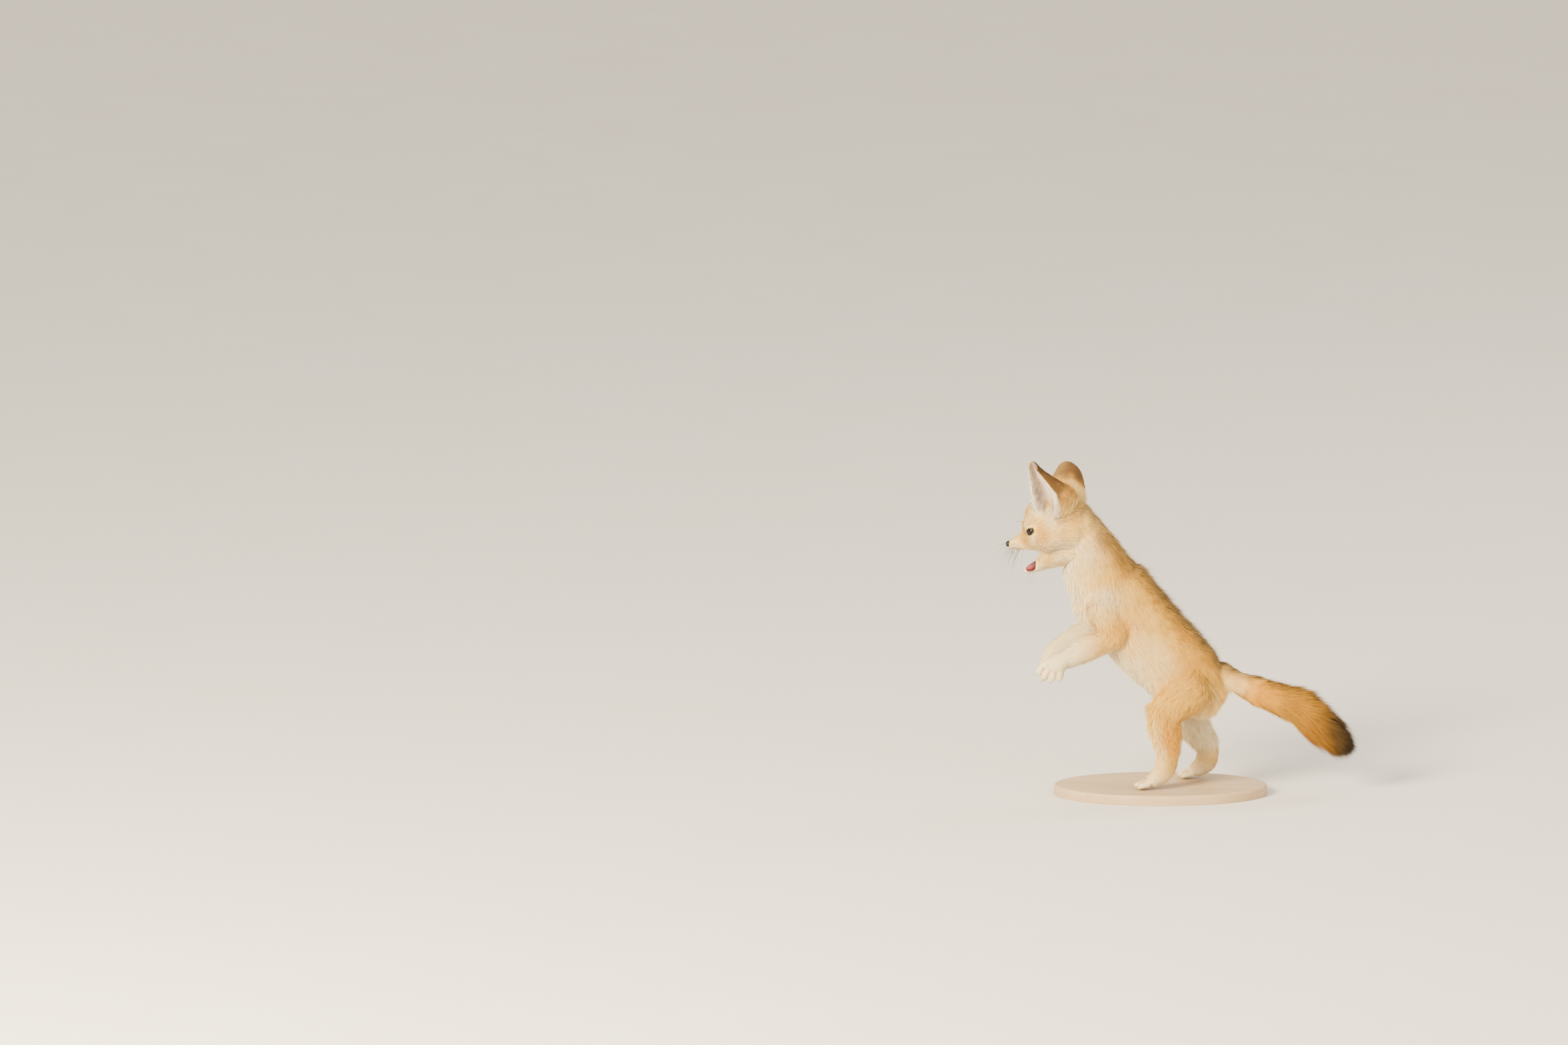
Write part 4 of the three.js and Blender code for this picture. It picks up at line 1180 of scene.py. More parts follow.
class Finish:
    """A material and its Principled shader. Its colours may be given as codes."""

    def __init__(self, name, **settings):
        self.material = bpy.data.materials.new(name)
        self.material.use_nodes = True
        self.tree = self.material.node_tree
        self.shader = self.tree.nodes["Principled BSDF"]
        self.shade(**settings)

    def node(self, kind, settings=None, inputs=None):
        """Adds a node: its settings first, then the values or links of its sockets."""
        node = self.tree.nodes.new(kind)
        for key, value in (settings or {}).items():
            if key == "stops":
                while len(node.color_ramp.elements) < len(value):
                    node.color_ramp.elements.new(0.5)
                for stop, (place, colour) in zip(node.color_ramp.elements, value):
                    stop.position = place
                    stop.color = rgba(colour)
            else:
                setattr(node, key, value)
        for key, value in (inputs or {}).items():
            self.feed(node.inputs[key], value)
        return node

    def feed(self, socket, value):
        """Links a socket or sets it."""
        if isinstance(value, Value):
            value = value.socket
        if isinstance(value, bpy.types.NodeSocket):
            self.tree.links.new(value, socket)
        else:
            socket.default_value = rgba(value) if isinstance(value, str) else value

    def shade(self, **values):
        """Feeds the shader's sockets, such as base_color, and returns the material."""
        for key, value in values.items():
            socket = key.replace("_", " ").title().replace("Ior", "IOR")
            self.feed(self.shader.inputs[socket], value)
        return self.material

    def value(self, kind, output, settings=None, inputs=None):
        """The number that a new node gives."""
        return Value(self, self.node(kind, settings, inputs).outputs[output])

    def place(self, stretch=None):
        """Object coordinates, stretched into a grain where scales are given."""
        place = self.node("ShaderNodeTexCoord").outputs["Object"]
        if stretch is None:
            return place
        return self.node("ShaderNodeMapping", None, {"Vector": place, "Scale": stretch}).outputs[0]

    def stored_tint(self):
        return self.node("ShaderNodeAttribute", {"attribute_name": "tint"}).outputs["Color"]

    def stored(self, name):
        return self.value("ShaderNodeAttribute", "Fac", {"attribute_name": name})

    def noise(self, scale, detail=4.0, rough=0.55, vector=None):
        inputs = {"Vector": vector or self.place(), "Scale": scale, "Detail": detail, "Roughness": rough}
        return self.value("ShaderNodeTexNoise", "Fac", None, inputs)

    def cells(self, scale, feature="F1"):
        inputs = {"Vector": self.place(), "Scale": scale}
        return self.value("ShaderNodeTexVoronoi", "Distance", {"feature": feature}, inputs)

    def mixed(self, share, first, second, blend_type="MIX"):
        settings = {"data_type": "RGBA", "blend_type": blend_type}
        return self.node("ShaderNodeMix", settings, {0: share, 6: first, 7: second}).outputs[2]

    def ramp(self, share, stops):
        return self.node("ShaderNodeValToRGB", {"stops": stops}, {"Fac": share}).outputs["Color"]

    def bump(self, height, distance, strength):
        inputs = {"Height": height, "Distance": distance, "Strength": strength}
        return self.node("ShaderNodeBump", None, inputs).outputs["Normal"]


def skin_finish():
    """Short hair over skin: the coat's colour with a fine nap."""
    finish = Finish("short hair over skin", specular_ior_level=0.1)
    nap = finish.noise(scale=1900, detail=3)
    tone = finish.mixed(nap * 0.3, finish.stored_tint(), "c8a67c", "MULTIPLY")
    normal = finish.bump(finish.noise(scale=1400), distance=0.0006, strength=0.5)
    return finish.shade(base_color=tone, roughness=0.72 + nap * 0.2, normal=normal)


def coat_finish():
    """Hair: the stored colour of each tuft, a little uneven from tuft to tuft."""
    finish = Finish("body coat", specular_ior_level=0.1)
    uneven = finish.noise(scale=420, detail=3)
    tone = finish.mixed(uneven * 0.2, finish.stored_tint(), "d6b98c", "MULTIPLY")
    return finish.shade(base_color=tone, roughness=0.62 + uneven * 0.25)


def mouth_finish():
    """Wet, blotched lining of the mouth."""
    finish = Finish("mouth lining", specular_ior_level=0.5)
    blotch = finish.noise(scale=260, detail=3)
    tone = finish.mixed(blotch * 0.6, finish.stored_tint(), "c98a84", "MULTIPLY")
    normal = finish.bump(finish.noise(scale=900, detail=3), distance=0.0004, strength=0.5)
    return finish.shade(base_color=tone, roughness=0.28 + blotch * 0.2, normal=normal)


def tongue_finish():
    """Wet and finely pimpled, its pink darkened towards the throat as painted shade."""
    finish = Finish("tongue", specular_ior_level=0.35)
    spots = finish.cells(scale=2200.0)
    # the tongue's own pink at the tip, darkening to near black at the root as painted shade
    stops = [(0.0, "8a3d40"), (0.3, "6b2a30"), (0.65, "43191b"), (1.0, "260f0e")]
    tone = finish.ramp(finish.stored("run") + finish.noise(scale=300) * 0.16 - 0.08, stops)
    normal = finish.bump(spots, distance=0.0003, strength=0.6)
    return finish.shade(base_color=tone, roughness=0.3 + spots * 0.3, normal=normal)


def nose_finish():
    """Dark damp leather in fine cells."""
    finish = Finish("nose leather", specular_ior_level=0.25, coat_weight=0.08, coat_roughness=0.25)
    pebble = finish.cells(scale=1700.0, feature="SMOOTH_F1")
    tone = finish.mixed(finish.noise(scale=500), "0e0a08", "231916")
    normal = finish.bump(1 - pebble, distance=0.00035, strength=0.7)
    return finish.shade(base_color=tone, roughness=0.36 + pebble * 0.2, normal=normal)


def rim_finish():
    """Bare black skin at the edge of the lids."""
    finish = Finish("dark lid and lip skin", specular_ior_level=0.25)
    fine = finish.noise(scale=1500, detail=3)
    normal = finish.bump(fine, distance=0.0002, strength=0.5)
    tone = finish.mixed(fine, "120c0a", "2a1c16")
    return finish.shade(base_color=tone, roughness=0.38 + fine * 0.2, normal=normal)


def eye_finish():
    """Dark brown iris with a black pupil, smooth and wet."""
    finish = Finish("eye", specular_ior_level=0.3)
    streak = finish.noise(scale=1500) * 0.03
    black, brown, dark = paint("040303"), paint("2a170d"), paint("0c0706")
    stops = [(0.0, dark), (0.5, dark), (0.6, brown), (0.76, brown * 0.7), (0.82, black), (1.0, black)]
    tone = finish.ramp(finish.stored("gaze") + streak, stops)
    return finish.shade(base_color=tone, roughness=0.05 + streak)


def claw_finish():
    """Pale horn, a little darker towards the point."""
    finish = Finish("claw horn", specular_ior_level=0.5)
    streak = finish.noise(scale=1800, detail=3)
    stops = [(0.0, "dcbda8"), (0.4, "cbb090"), (1.0, "8f7457")]
    tone = finish.mixed(streak * 0.3, finish.ramp(finish.stored("run"), stops), "8a6f55")
    normal = finish.bump(streak, distance=0.0001, strength=0.5)
    return finish.shade(base_color=tone, roughness=0.3 + streak * 0.15, normal=normal)


def tooth_finish():
    finish = Finish("milk teeth", specular_ior_level=0.6, coat_weight=0.4, coat_roughness=0.1)
    stain = finish.noise(scale=900, detail=3)
    tone = finish.mixed(stain * 0.5, "f3ecdc", "dcc9a0")
    return finish.shade(base_color=tone, roughness=0.2 + stain * 0.15)


def whisker_finish():
    """Dark at the root and paler at the point."""
    finish = Finish("whisker", specular_ior_level=0.5)
    run = finish.stored("run")
    tone = finish.ramp(run, [(0.0, "1c140f"), (0.7, "2f231b"), (1.0, "5e4a3a")])
    return finish.shade(base_color=tone, roughness=0.4 + run * 0.1)


def board_finish():
    """Oiled pale wood with long grain and fine pores."""
    finish = Finish("oiled ash board", specular_ior_level=0.35, coat_weight=0.1, coat_roughness=0.3)
    long_grain = finish.place(stretch=(1.0, 0.12, 0.6))
    pore_grain = finish.place(stretch=(1.0, 0.03, 1.0))
    broad = finish.noise(scale=38, detail=3, rough=0.5, vector=long_grain)
    lines = finish.noise(scale=260, detail=3, vector=pore_grain)
    pores = finish.noise(scale=1500, detail=2, rough=0.5, vector=pore_grain)
    light = paint("cbb089")
    stops = [(0.0, light), (0.42, light * 0.96), (0.55, light * 0.84), (0.7, light * 0.95), (1.0, light)]
    tone = finish.mixed(lines * 0.5, finish.ramp(broad, stops), "a27f52")
    normal = finish.bump(lines * 0.6 + pores * 0.4, distance=0.0002, strength=0.35)
    return finish.shade(base_color=tone, roughness=0.4 + pores * 0.25, normal=normal)


def floor_finish():
    finish = Finish("pale floor", specular_ior_level=0.2)
    mottle = finish.noise(scale=6)
    tone = finish.mixed(mottle, "e3ddd6", "dcd5cc")
    return finish.shade(base_color=tone, roughness=0.85 + mottle * 0.1)


# Making the skin. The lip line is where the mouth's lining meets the outer skin.

flesh_points, flesh_faces, flesh_slots = carved(*run_together())
flesh_normals = point_normals(flesh_points, flesh_faces)
flesh_lie = lie_at(flesh_points)
lining_points = np.unique(flesh_faces[flesh_slots == 1])
lip_line = flesh_points[np.intersect1d(lining_points, flesh_faces[flesh_slots == 0])]
ears = {side: ear_body(side) for side in SIDES}

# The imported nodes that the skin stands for

FLESH_NODES = ["torso", "neck", "head", "jaw", "tail_root", "tail_brush", "tail_tip"]
FLESH_NODES += [f"{part}_{word}" for word in SIDES.values() for part in ("ear", *LIMB_CAPS)]


def nearness(points, marks, reach):
    """1 at the marks, fading to 0 at `reach` from the nearest of them."""
    near = np.full(len(points), 1e9)
    close = np.linalg.norm(points - marks.mean(0), axis=1) < np.ptp(marks, axis=0).max() + reach
    chosen = np.where(close)[0]
    for start in range(0, len(chosen), CHUNK):
        part = chosen[start : start + CHUNK]
        gap = np.linalg.norm(points[part][:, None] - marks[None], axis=2)
        near[part] = gap.min(1)
    return np.clip(1 - near / reach, 0, 1)


def lid_distance(local, side):
    """For points of the head: 0 in the middle of an eye to 1 at its lids, and how far ahead and across."""
    axes, middle = eye_axes(side)
    gap = (local - middle) @ axes.T
    across = gap[:, 0] / (EYE["long"] / 2)
    return np.hypot(across, gap[:, 1] / (EYE["tall"] / 2)), gap[:, 2], across


def lining_tint(points):
    """Colour of the inside of the mouth: pink at the lips, darkened towards the throat as painted shade."""
    return blend(MOUTH_PINK, THROAT_SHADE, smooth(to_head(points)[:, 1], -40, -26))


def flesh_tint():
    """Colour of the skin: that of its coat, with dark lips and lids, and the lining of the mouth."""
    tint = coat_tint(flesh_points, flesh_normals, flesh_lie)
    lips = nearness(flesh_points, lip_line, 1.5)
    tint = blend(tint, LIP_SKIN, smooth(lips, 0.2, 0.75) * 0.85)
    for side in SIDES:
        ring, ahead, across = lid_distance(to_head(flesh_points), side)
        wide = 1.12 + 0.3 * smooth(-across, 0.4, 1.1) + 0.22 * smooth(across, 0.6, 1.1)
        dark = (1 - smooth(ring, wide - 0.12, wide + 0.12)) * (ahead > 0)
        tint = blend(tint, BLACK_SKIN, dark * 0.95)
    tint[lining_points] = lining_tint(flesh_points)[lining_points]
    return tint


def ear_tint(points, t, s, back):
    """Brown backs that turn golden towards the root, white rims and pinkish cups."""
    wander = ridges(points, 6, 41) * 0.08
    behind = ramped(t + wander, (0.0, CREAM), (0.14, EAR_SAND), (0.32, EAR_GOLD), (0.5, OLIVE))
    dark = smooth(t + wander, 0.22, 0.5) * (1 - 0.7 * smooth(np.abs(s - 0.4), 0.35, 0.85))
    behind = blend(behind, EAR_BROWN, dark)
    cup = blend(EAR_PINK, EAR_PALE, smooth(np.abs(s + 0.1), 0.05, 0.4))
    cup = blend(cup, SNOW, smooth(t, 0.6, 0.95) * 0.5)
    rim = smooth(np.abs(s) + wander * 0.2, 0.88, 0.95)
    tip = smooth(t, 0.94, 0.98) * (0.8 - 0.6 * back)
    tint = np.where(back[:, None] > 0.5, behind, cup)
    return blend(tint, EAR_RIM, np.maximum(rim, tip) * 0.95)


def skin_piece():
    """The whole skin, flesh and ears, as one piece."""
    bodies = [(flesh_points, flesh_faces)]
    tints = [flesh_tint()]
    slots = [np.clip(flesh_slots, 0, 1)]
    for points, faces, grid in ears.values():
        bodies.append((points, faces))
        tints.append(ear_tint(points, grid["t"], grid["s"], grid["back"]))
        slots.append(np.zeros(len(faces), int))
    piece = mesh_piece("skin", *together(bodies), [skin_finish(), mouth_finish()])
    piece.data.polygons.foreach_set("material_index", np.concatenate(slots).astype(np.int32))
    paint_points(piece, "tint", np.vstack(tints))
    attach(piece, "root")
    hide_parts(*FLESH_NODES)


skin_piece()


# Tufts: each is a bent, tapered blade with two points at its root, two halfway and one at its tip. It is
# sunk a little into the skin and has its own small patch on the UV map.

TUFT_FACES = np.array([[0, 1, 3], [0, 3, 2], [2, 3, 4]])
TUFT_PLACES = np.array([0, 0, 0.5, 0.5, 1.0])
TUFT_SIDES = np.array([0, 1, 0, 1, 0.5])
TUFT_HALVES = [{"angle": 1.25, "width": 0.8}, {"angle": 0.7, "width": 0.9}]
SUNK = 0.25
PATCH = 0.003
HAIRLESS_NOSE = ((0, -55.5, -4.9), (4.6, 4.2, 3.8))
BODY_COAT = coat_finish()


def scattered(points, faces, weights, count):
    """Random places on a surface: face numbers and corner shares."""
    a, b, c = (points[faces[:, k]] for k in range(3))
    area = np.linalg.norm(np.cross(b - a, c - a), axis=1) / 2 * weights
    chosen = draw.choice(len(faces), count, p=area / area.sum())
    u, w = np.sqrt(draw.random(count)), draw.random(count)
    shares = np.stack([1 - u, u * (1 - w), u * w], -1)
    return chosen, shares


def spread(values, faces, chosen, shares):
    """Values of the points of a surface at scattered places."""
    return np.einsum("ij,ij...->i...", shares, values[faces[chosen]])


def tufts(name, root, normal, flow, hair, width, lift, base, tip, patch):
    """One mesh of tufts that lie along the flow, each a little astray, from `base` to `tip` in colour."""
    count = len(root)
    flow = unit(flow - normal * np.einsum("ij,ij->i", flow, normal)[:, None])
    side = np.cross(flow, normal)
    sway = ridges(root, 9, 31) * 0.2 + ridges(root, 3.2, 32) * 0.22 + draw.normal(0, 0.12, count)
    uneven = 1 + ridges(root, 6, 33) * 0.22 + ridges(root, 2.4, 35) * 0.2
    rise = lift * (uneven + draw.normal(0, 0.14, count))
    flow = unit(flow + side * sway[:, None])
    side = np.cross(flow, normal)
    hair = hair * (1 + draw.normal(0, 0.14, count) + ridges(root, 3.5, 34) * 0.12)
    roll = draw.normal(0, 0.5, count)
    across = side * np.cos(roll)[:, None] + normal * np.sin(roll)[:, None]
    curl = draw.normal(0, 0.1, count)
    at = root - normal * SUNK
    rows = []
    for k, half in enumerate(TUFT_HALVES):
        edge = across * (width * half["width"] / 2)[:, None]
        rows += [at - edge, at + edge]
        angle = rise * half["angle"]
        lean = np.cos(angle)[:, None] * flow + np.sin(angle)[:, None] * normal
        lean = unit(lean + side * (curl * k)[:, None])
        at = at + lean * (hair / 2)[:, None]
    points = np.stack([*rows, at], 1)
    return tuft_piece(name, points, normal, base, tip, patch)


def tuft_piece(name, tuft_points, normal, base, tip, patch):
    """The mesh of all tufts; `patch` is where each of them lies on the UV map."""
    count, corners = tuft_points.shape[:2]
    points = tuft_points.reshape(-1, 3)
    points[:, 2] = np.maximum(points[:, 2], 0.0)
    faces = (np.arange(count)[:, None, None] * corners + TUFT_FACES).reshape(-1, 3)
    piece = mesh_piece(name, points, faces, [BODY_COAT])
    share = TUFT_PLACES[None, :, None]
    tint = base[:, None] * (1 - share) + tip[:, None] * share
    paint_points(piece, "tint", tint.reshape(-1, 3))
    sheet = piece.data.uv_layers.new(name="OFBake")
    local = np.stack([TUFT_SIDES, TUFT_PLACES], -1) * PATCH - PATCH / 2
    where = (patch[:, None] * 0.99 + 0.005 + local[None]).reshape(-1, 2)
    sheet.data.foreach_set("uv", where[faces.ravel()].astype(np.float32).ravel())
    blade = point_normals(points, faces).reshape(count, corners, 3)
    soft = unit(normal[:, None] * 0.6 + blade * 0.4)
    piece.data.normals_split_custom_set_from_vertices(soft.reshape(-1, 3))
    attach(piece, "root")
    return piece


def face_hair_rules(local, root, hair):
    """Shorter hair round the eyes and lips, and where there is none: on the lids, lips and nose."""
    bare = np.zeros(len(root), bool)
    for side in SIDES:
        ring, ahead, across = lid_distance(local, side)
        inner = 0.16 * smooth(-across, 0.4, 1.1)
        bare |= (ring < 1.04 + inner) & (ahead > 0)
        short = 1.2 + 3.2 * np.maximum(ring - 1.1, 0)
        hair = np.where((ring < 2.6) & (ahead > 0), np.minimum(hair, short), hair)
    mouth = nearness(root, lip_line, 3.5)
    bare |= mouth > 0.86
    middle, reach = HAIRLESS_NOSE
    nose = np.linalg.norm((local - np.array(middle)) / np.array(reach), axis=1)
    return hair * (1 - 0.5 * mouth), bare | (nose < 1)


def round_the_ears(root, flow, hair, head):
    """Hair of the head that runs up over the roots of the ears and hides where they start."""
    for points, _, grid in ears.values():
        ring = points[(grid["t"] < 0.04) & (grid["back"] > 0.5)]
        close = smooth(nearness(root, ring, 9), 0.1, 0.7) * head
        up = unit(grid["flow"][0])
        flow = flow * (1 - close[:, None]) + up * close[:, None] * 1.2
        hair = hair + close * 2.5
    return flow, hair


def coat_tones(root, tint, body, high):
    """Colours of the root and the tip of each tuft, uneven in clumps, with some dark tips on the back."""
    clumps = ridges(root, 2.4, 51) * 0.055 + ridges(root, 6.5, 52) * 0.06 * body
    tone = 1 + draw.normal(0, 0.055, len(root))[:, None] + clumps[:, None]
    tip = np.clip(tint * tone * 1.08, 0, 1)
    base = np.clip(tint * tone * 0.78, 0, 1)
    ticked = (draw.random(len(root)) < 0.2) * body * smooth(high, 0.25, 0.9)
    return base, blend(tip, TICKING, ticked * 0.5)


face_length = flesh_lie["number"][flesh_faces[:, 0]]
face_hair = flesh_lie["hair"][flesh_faces[:, 0]]
face_middle = flesh_points[flesh_faces].mean(1)


def coat_piece(name, parts, count, side):
    """The coat of some lengths of the body, on one side or, where `side` is 0, on both."""
    wanted = np.isin(NAMES[face_length], parts) & (flesh_slots == 0)
    if side:
        wanted = wanted & (face_middle[:, 0] * side > 0)
    weights = wanted / np.maximum(face_hair, 1.0) ** 0.6
    chosen, shares = scattered(flesh_points, flesh_faces, weights, count)
    root = spread(flesh_points, flesh_faces, chosen, shares)
    normal = unit(spread(flesh_normals, flesh_faces, chosen, shares))
    first = flesh_faces[chosen, 0]
    lie = {key: flesh_lie[key][first] for key in ("number", "along", "turn")}
    for key in ("flow", "hair", "up", "share"):
        lie[key] = spread(flesh_lie[key], flesh_faces, chosen, shares)
    group = dict(zip(GROUPS, lie["share"].T))
    body = group["trunk"] + group["neck"]
    flow = lie["flow"] + body[:, None] * np.array([0, 0, -0.3])
    high = np.einsum("ij,ij->i", normal, unit(lie["up"]))
    back = (group["trunk"] + 0.25 * group["neck"]) * smooth(high, 0.5, 0.95)
    longer = 0.35 * back - 0.18 * body * smooth(-high, 0.1, 0.6)
    hair, bare = face_hair_rules(to_head(root), root, lie["hair"] * (1 + longer))
    flow, hair = round_the_ears(root, flow, hair, group["head"])
    base, tip = coat_tones(root, coat_tint(root, normal, lie), body, high)
    lift = 0.3 + 0.22 * smooth(hair, 1.5, 8) + 0.12 * back - 0.14 * group["tail"]
    width = np.clip(0.14 + hair * 0.014, 0.16, 0.34)
    guard = (draw.random(count) < 0.07) * np.clip(body + group["head"] + group["thigh"], 0, 1)
    hair = hair * (1 + 0.25 * guard)
    lift = lift * (1 + 0.35 * guard)
    width = width * (1 - 0.35 * guard)
    patch = np.c_[(lie["turn"] / (2 * math.pi)) % 1.0, (lie["number"] % 8 + lie["along"]) / 8.0]
    sole = (root[:, 2] < 1.2) & (normal[:, 2] < -0.3)
    keep = ~(bare | sole)
    tufts(name, *(v[keep] for v in (root, normal, flow, hair, width, lift, base, tip, patch)))


def ear_coat(count):
    """Short hair on the backs and rims of the ears and a long pale fringe inside."""
    coats = []
    for side, (points, faces, grid) in ears.items():
        back = grid["back"][faces[:, 0]] > 0.5
        rims = smooth(np.abs(grid["s"][faces[:, 0]]), 0.8, 1)
        weights = np.where(back, 1.0, 0.55) * (1 + 2.0 * rims)
        chosen, shares = scattered(points, faces, weights, count // 2)
        normals = point_normals(points, faces)
        sources = (points, normals, grid["flow"], grid["t"], grid["s"], grid["back"])
        root, normal, flow, t, s, behind = (spread(v, faces, chosen, shares) for v in sources)
        normal = unit(normal)
        rim = smooth(np.abs(s), 0.8, 0.95)
        fringe = (behind < 0.5) * smooth(np.abs(s), 0.45, 0.8) * (1 - smooth(t, 0.75, 1.0))
        hair = 2.2 + 1.2 * (1 - t) + fringe * (2.0 + 4.5 * (1 - t)) + 4.5 * smooth(0.3 - t, 0, 0.25)
        hair = hair + behind * (0.5 + 2.2 * (1 - smooth(t, 0.2, 0.75))) - 0.9 * rim * (1 - fringe)
        width = np.clip(0.15 + hair * 0.015, 0.17, 0.3)
        lift = 0.26 + 0.3 * fringe + 0.2 * smooth(0.25 - t, 0, 0.2)
        tint = ear_tint(root, t, s, behind)
        tint = np.where(behind[:, None] > 0.5, tint, blend(tint, EAR_FRINGE, 0.5 + 0.5 * fringe))
        uneven = 1 + draw.normal(0, 0.05, len(t))
        tint = tint * uneven[:, None] * (1 + 0.06 * ridges(root, 2.0, 47))[:, None]
        cup = (behind < 0.5) & (np.abs(s) < 0.45) & (t > 0.2)
        keep = ~cup | (draw.random(len(t)) < 0.35)
        patch = np.c_[(s + 1) / 2 * 0.5 + (0.5 if side < 0 else 0), t]
        tip = np.clip(tint * 1.06, 0, 1)
        coats.append([v[keep] for v in (root, normal, flow, hair, width, lift, tint * 0.82, tip, patch)])
    tufts("coat_ears", *map(np.concatenate, zip(*coats)))


# Coat pieces: their lengths of the body, number of tufts and side

COATS = {
    "coat_head": (["head", "jaw", "cheek"], 62000, 0),
    "coat_neck": (["neck"], 52000, 0),
    "coat_trunk_left": (["trunk"], 60000, 1),
    "coat_trunk_right": (["trunk"], 60000, -1),
    "coat_forelegs": (["upper_arm", "forearm", "forepaw", "forepaw_toe"], 56000, 0),
    "coat_hindlegs": (["thigh", "shank", "hindfoot", "hindfoot_toe"], 62000, 0),
    "coat_tail": (["tail"], 58000, 0),
}
EAR_TUFTS = 56000
thinned = 1.0
for coat_name, (coat_parts, coat_count, coat_side) in COATS.items():
    coat_piece(coat_name, coat_parts, int(coat_count * thinned), coat_side)
ear_coat(int(EAR_TUFTS * thinned))


# Eyes and the dark rims of their lids


def eye_piece(side, word):
    """An eyeball that swells a little at its cornea."""
    points, faces = ball((0, 0, 0), [1, 1, 1], 96, 64)
    ahead = points[:, 2]
    swell = 0.28 * smooth(ahead, 0.62, 0.95)
    local = points * (EYE["radius"] - 0.05 + swell)[:, None]
    piece = mesh_piece(f"eye_{word}_ball", from_eye(local, side), faces, [EYE_GLASS])
    paint_points(piece, "gaze", np.clip(ahead, 0, 1))
    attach(piece, "root")
    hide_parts(f"eye_{word}")


def ring_tube(line, radius, sides=10):
    """Closed tube round a closed line."""
    count = len(line)
    along = unit(np.roll(line, -1, 0) - np.roll(line, 1, 0))
    out = unit(line - line.mean(0))
    up = unit(np.cross(along, out))
    out = np.cross(up, along)
    turn = np.linspace(0, 2 * math.pi, sides, endpoint=False)
    radius = np.broadcast_to(radius, (count,))
    ring = out[:, None] * np.cos(turn)[None, :, None] + up[:, None] * np.sin(turn)[None, :, None]
    points = (line[:, None] + ring * radius[:, None, None]).reshape(-1, 3)
    r, j = np.meshgrid(np.arange(count), np.arange(sides), indexing="ij")
    a = (r * sides + j).ravel()
    b = (r * sides + (j + 1) % sides).ravel()
    c = ((r + 1) % count * sides + (j + 1) % sides).ravel()
    d = ((r + 1) % count * sides + j).ravel()
    return points, np.vstack([np.c_[a, b, c], np.c_[a, c, d]])


def lid_rims():
    """Dark bare rim along the edge of both lids of each eye."""
    line = lid_line(96) * 1.03
    reach = EYE["radius"] + 0.35
    height = np.sqrt(np.maximum(reach**2 - (line**2).sum(1), 1.0))
    radius = 0.5 + 0.18 * smooth(-line[:, 0], 2.6, 4.9) + 0.12 * smooth(line[:, 0], 3.0, 4.6)
    points, faces = ring_tube(np.c_[line, height], radius)
    bodies = [outward((from_eye(points, side), faces)) for side in SIDES]
    piece = mesh_piece("lid_rims", *together(bodies), [rim_finish()])
    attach(piece, "root")


EYE_GLASS = eye_finish()
for eye_side, eye_word in SIDES.items():
    eye_piece(eye_side, eye_word)
lid_rims()


# Nose, tongue, teeth, claws and whiskers, in the head's frame but for the claws

NOSE_AT = np.array([0, -54.6, -4.9])
NOSE_SIZE = np.array([3.9, 3.1, 3.15])
TONGUE = [
    (0, -19, -23.8, 4.6, 2, 2),
    (0, -28, -28, 5, 2.6, 4),
    (0, -34, -31.2, 5, 3.4, 4.4),
    (0, -39, -32.8, 4.4, 3.4, 3),
    (0, -42.6, -33.4, 2.4, 2.4, 1.8),
]


def nose_piece():
    """Nose pad with a groove down its middle and comma-shaped nostrils."""
    points, faces = ball((0, 0, 0), [1, 1, 1], 120, 80)
    shape = points * NOSE_SIZE
    front = smooth(-points[:, 1], 0.0, 0.5)
    groove = np.exp(-((shape[:, 0] / 0.42) ** 2)) * front * smooth(-points[:, 2], -0.5, 0.5)
    shape[:, 1] += groove * 0.7
    for side in SIDES:
        hole = np.hypot(shape[:, 0] - side * 1.7, shape[:, 2] + 0.1)
        slit = np.hypot((shape[:, 0] - side * 2.75) / 1.35, (shape[:, 2] + 0.75) / 0.5)
        deep = np.maximum(1 - smooth(hole, 0.5, 1.25), 1 - smooth(slit, 0.4, 1.2))
        shape[:, 1] += deep * front * 1.7
        wing = np.exp(-(((hole - 1.6) / 0.4) ** 2)) * front
        shape += points * (wing * 0.22)[:, None]
    piece = mesh_piece("nose_pad", from_head(shape + NOSE_AT), faces, [nose_finish()])
    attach(piece, "root")
    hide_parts("nose")


def tongue_piece():
    """Tongue with a groove along its middle."""
    points, faces = loft(TONGUE, UPWARD, 40, 48, (0.5, 0.6), 7)
    # 0 at the tip to 1 at the root, where the tongue's finish paints shade
    run = smooth(points[:, 1], -42, -26)
    groove = np.exp(-((points[:, 0] / 0.9) ** 2)) * smooth(points[:, 2], -32, -30)
    points[:, 2] -= groove * 0.5
    piece = mesh_piece("tongue_soft", from_head(points), faces, [tongue_finish()])
    paint_points(piece, "run", run)
    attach(piece, "root")
    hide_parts("tongue")


def tooth(root, point, length, radius):
    """A tooth that bends a little forward."""
    root, point = np.array(root, float), unit(np.array(point, float))
    end = root + point * length
    middle = (root + end) / 2 + np.array([0, -0.3, 0])
    sizes = [(1, 1, 1), (0.75, 0.8, 0.8), (0.22, 0.22, 0.22)]
    stations = [(*at, *(radius * np.array(s))) for at, s in zip((root, middle, end), sizes)]
    return loft(stations, (0, -1, 0), 12, 12, (0.5, 0.8), 3)


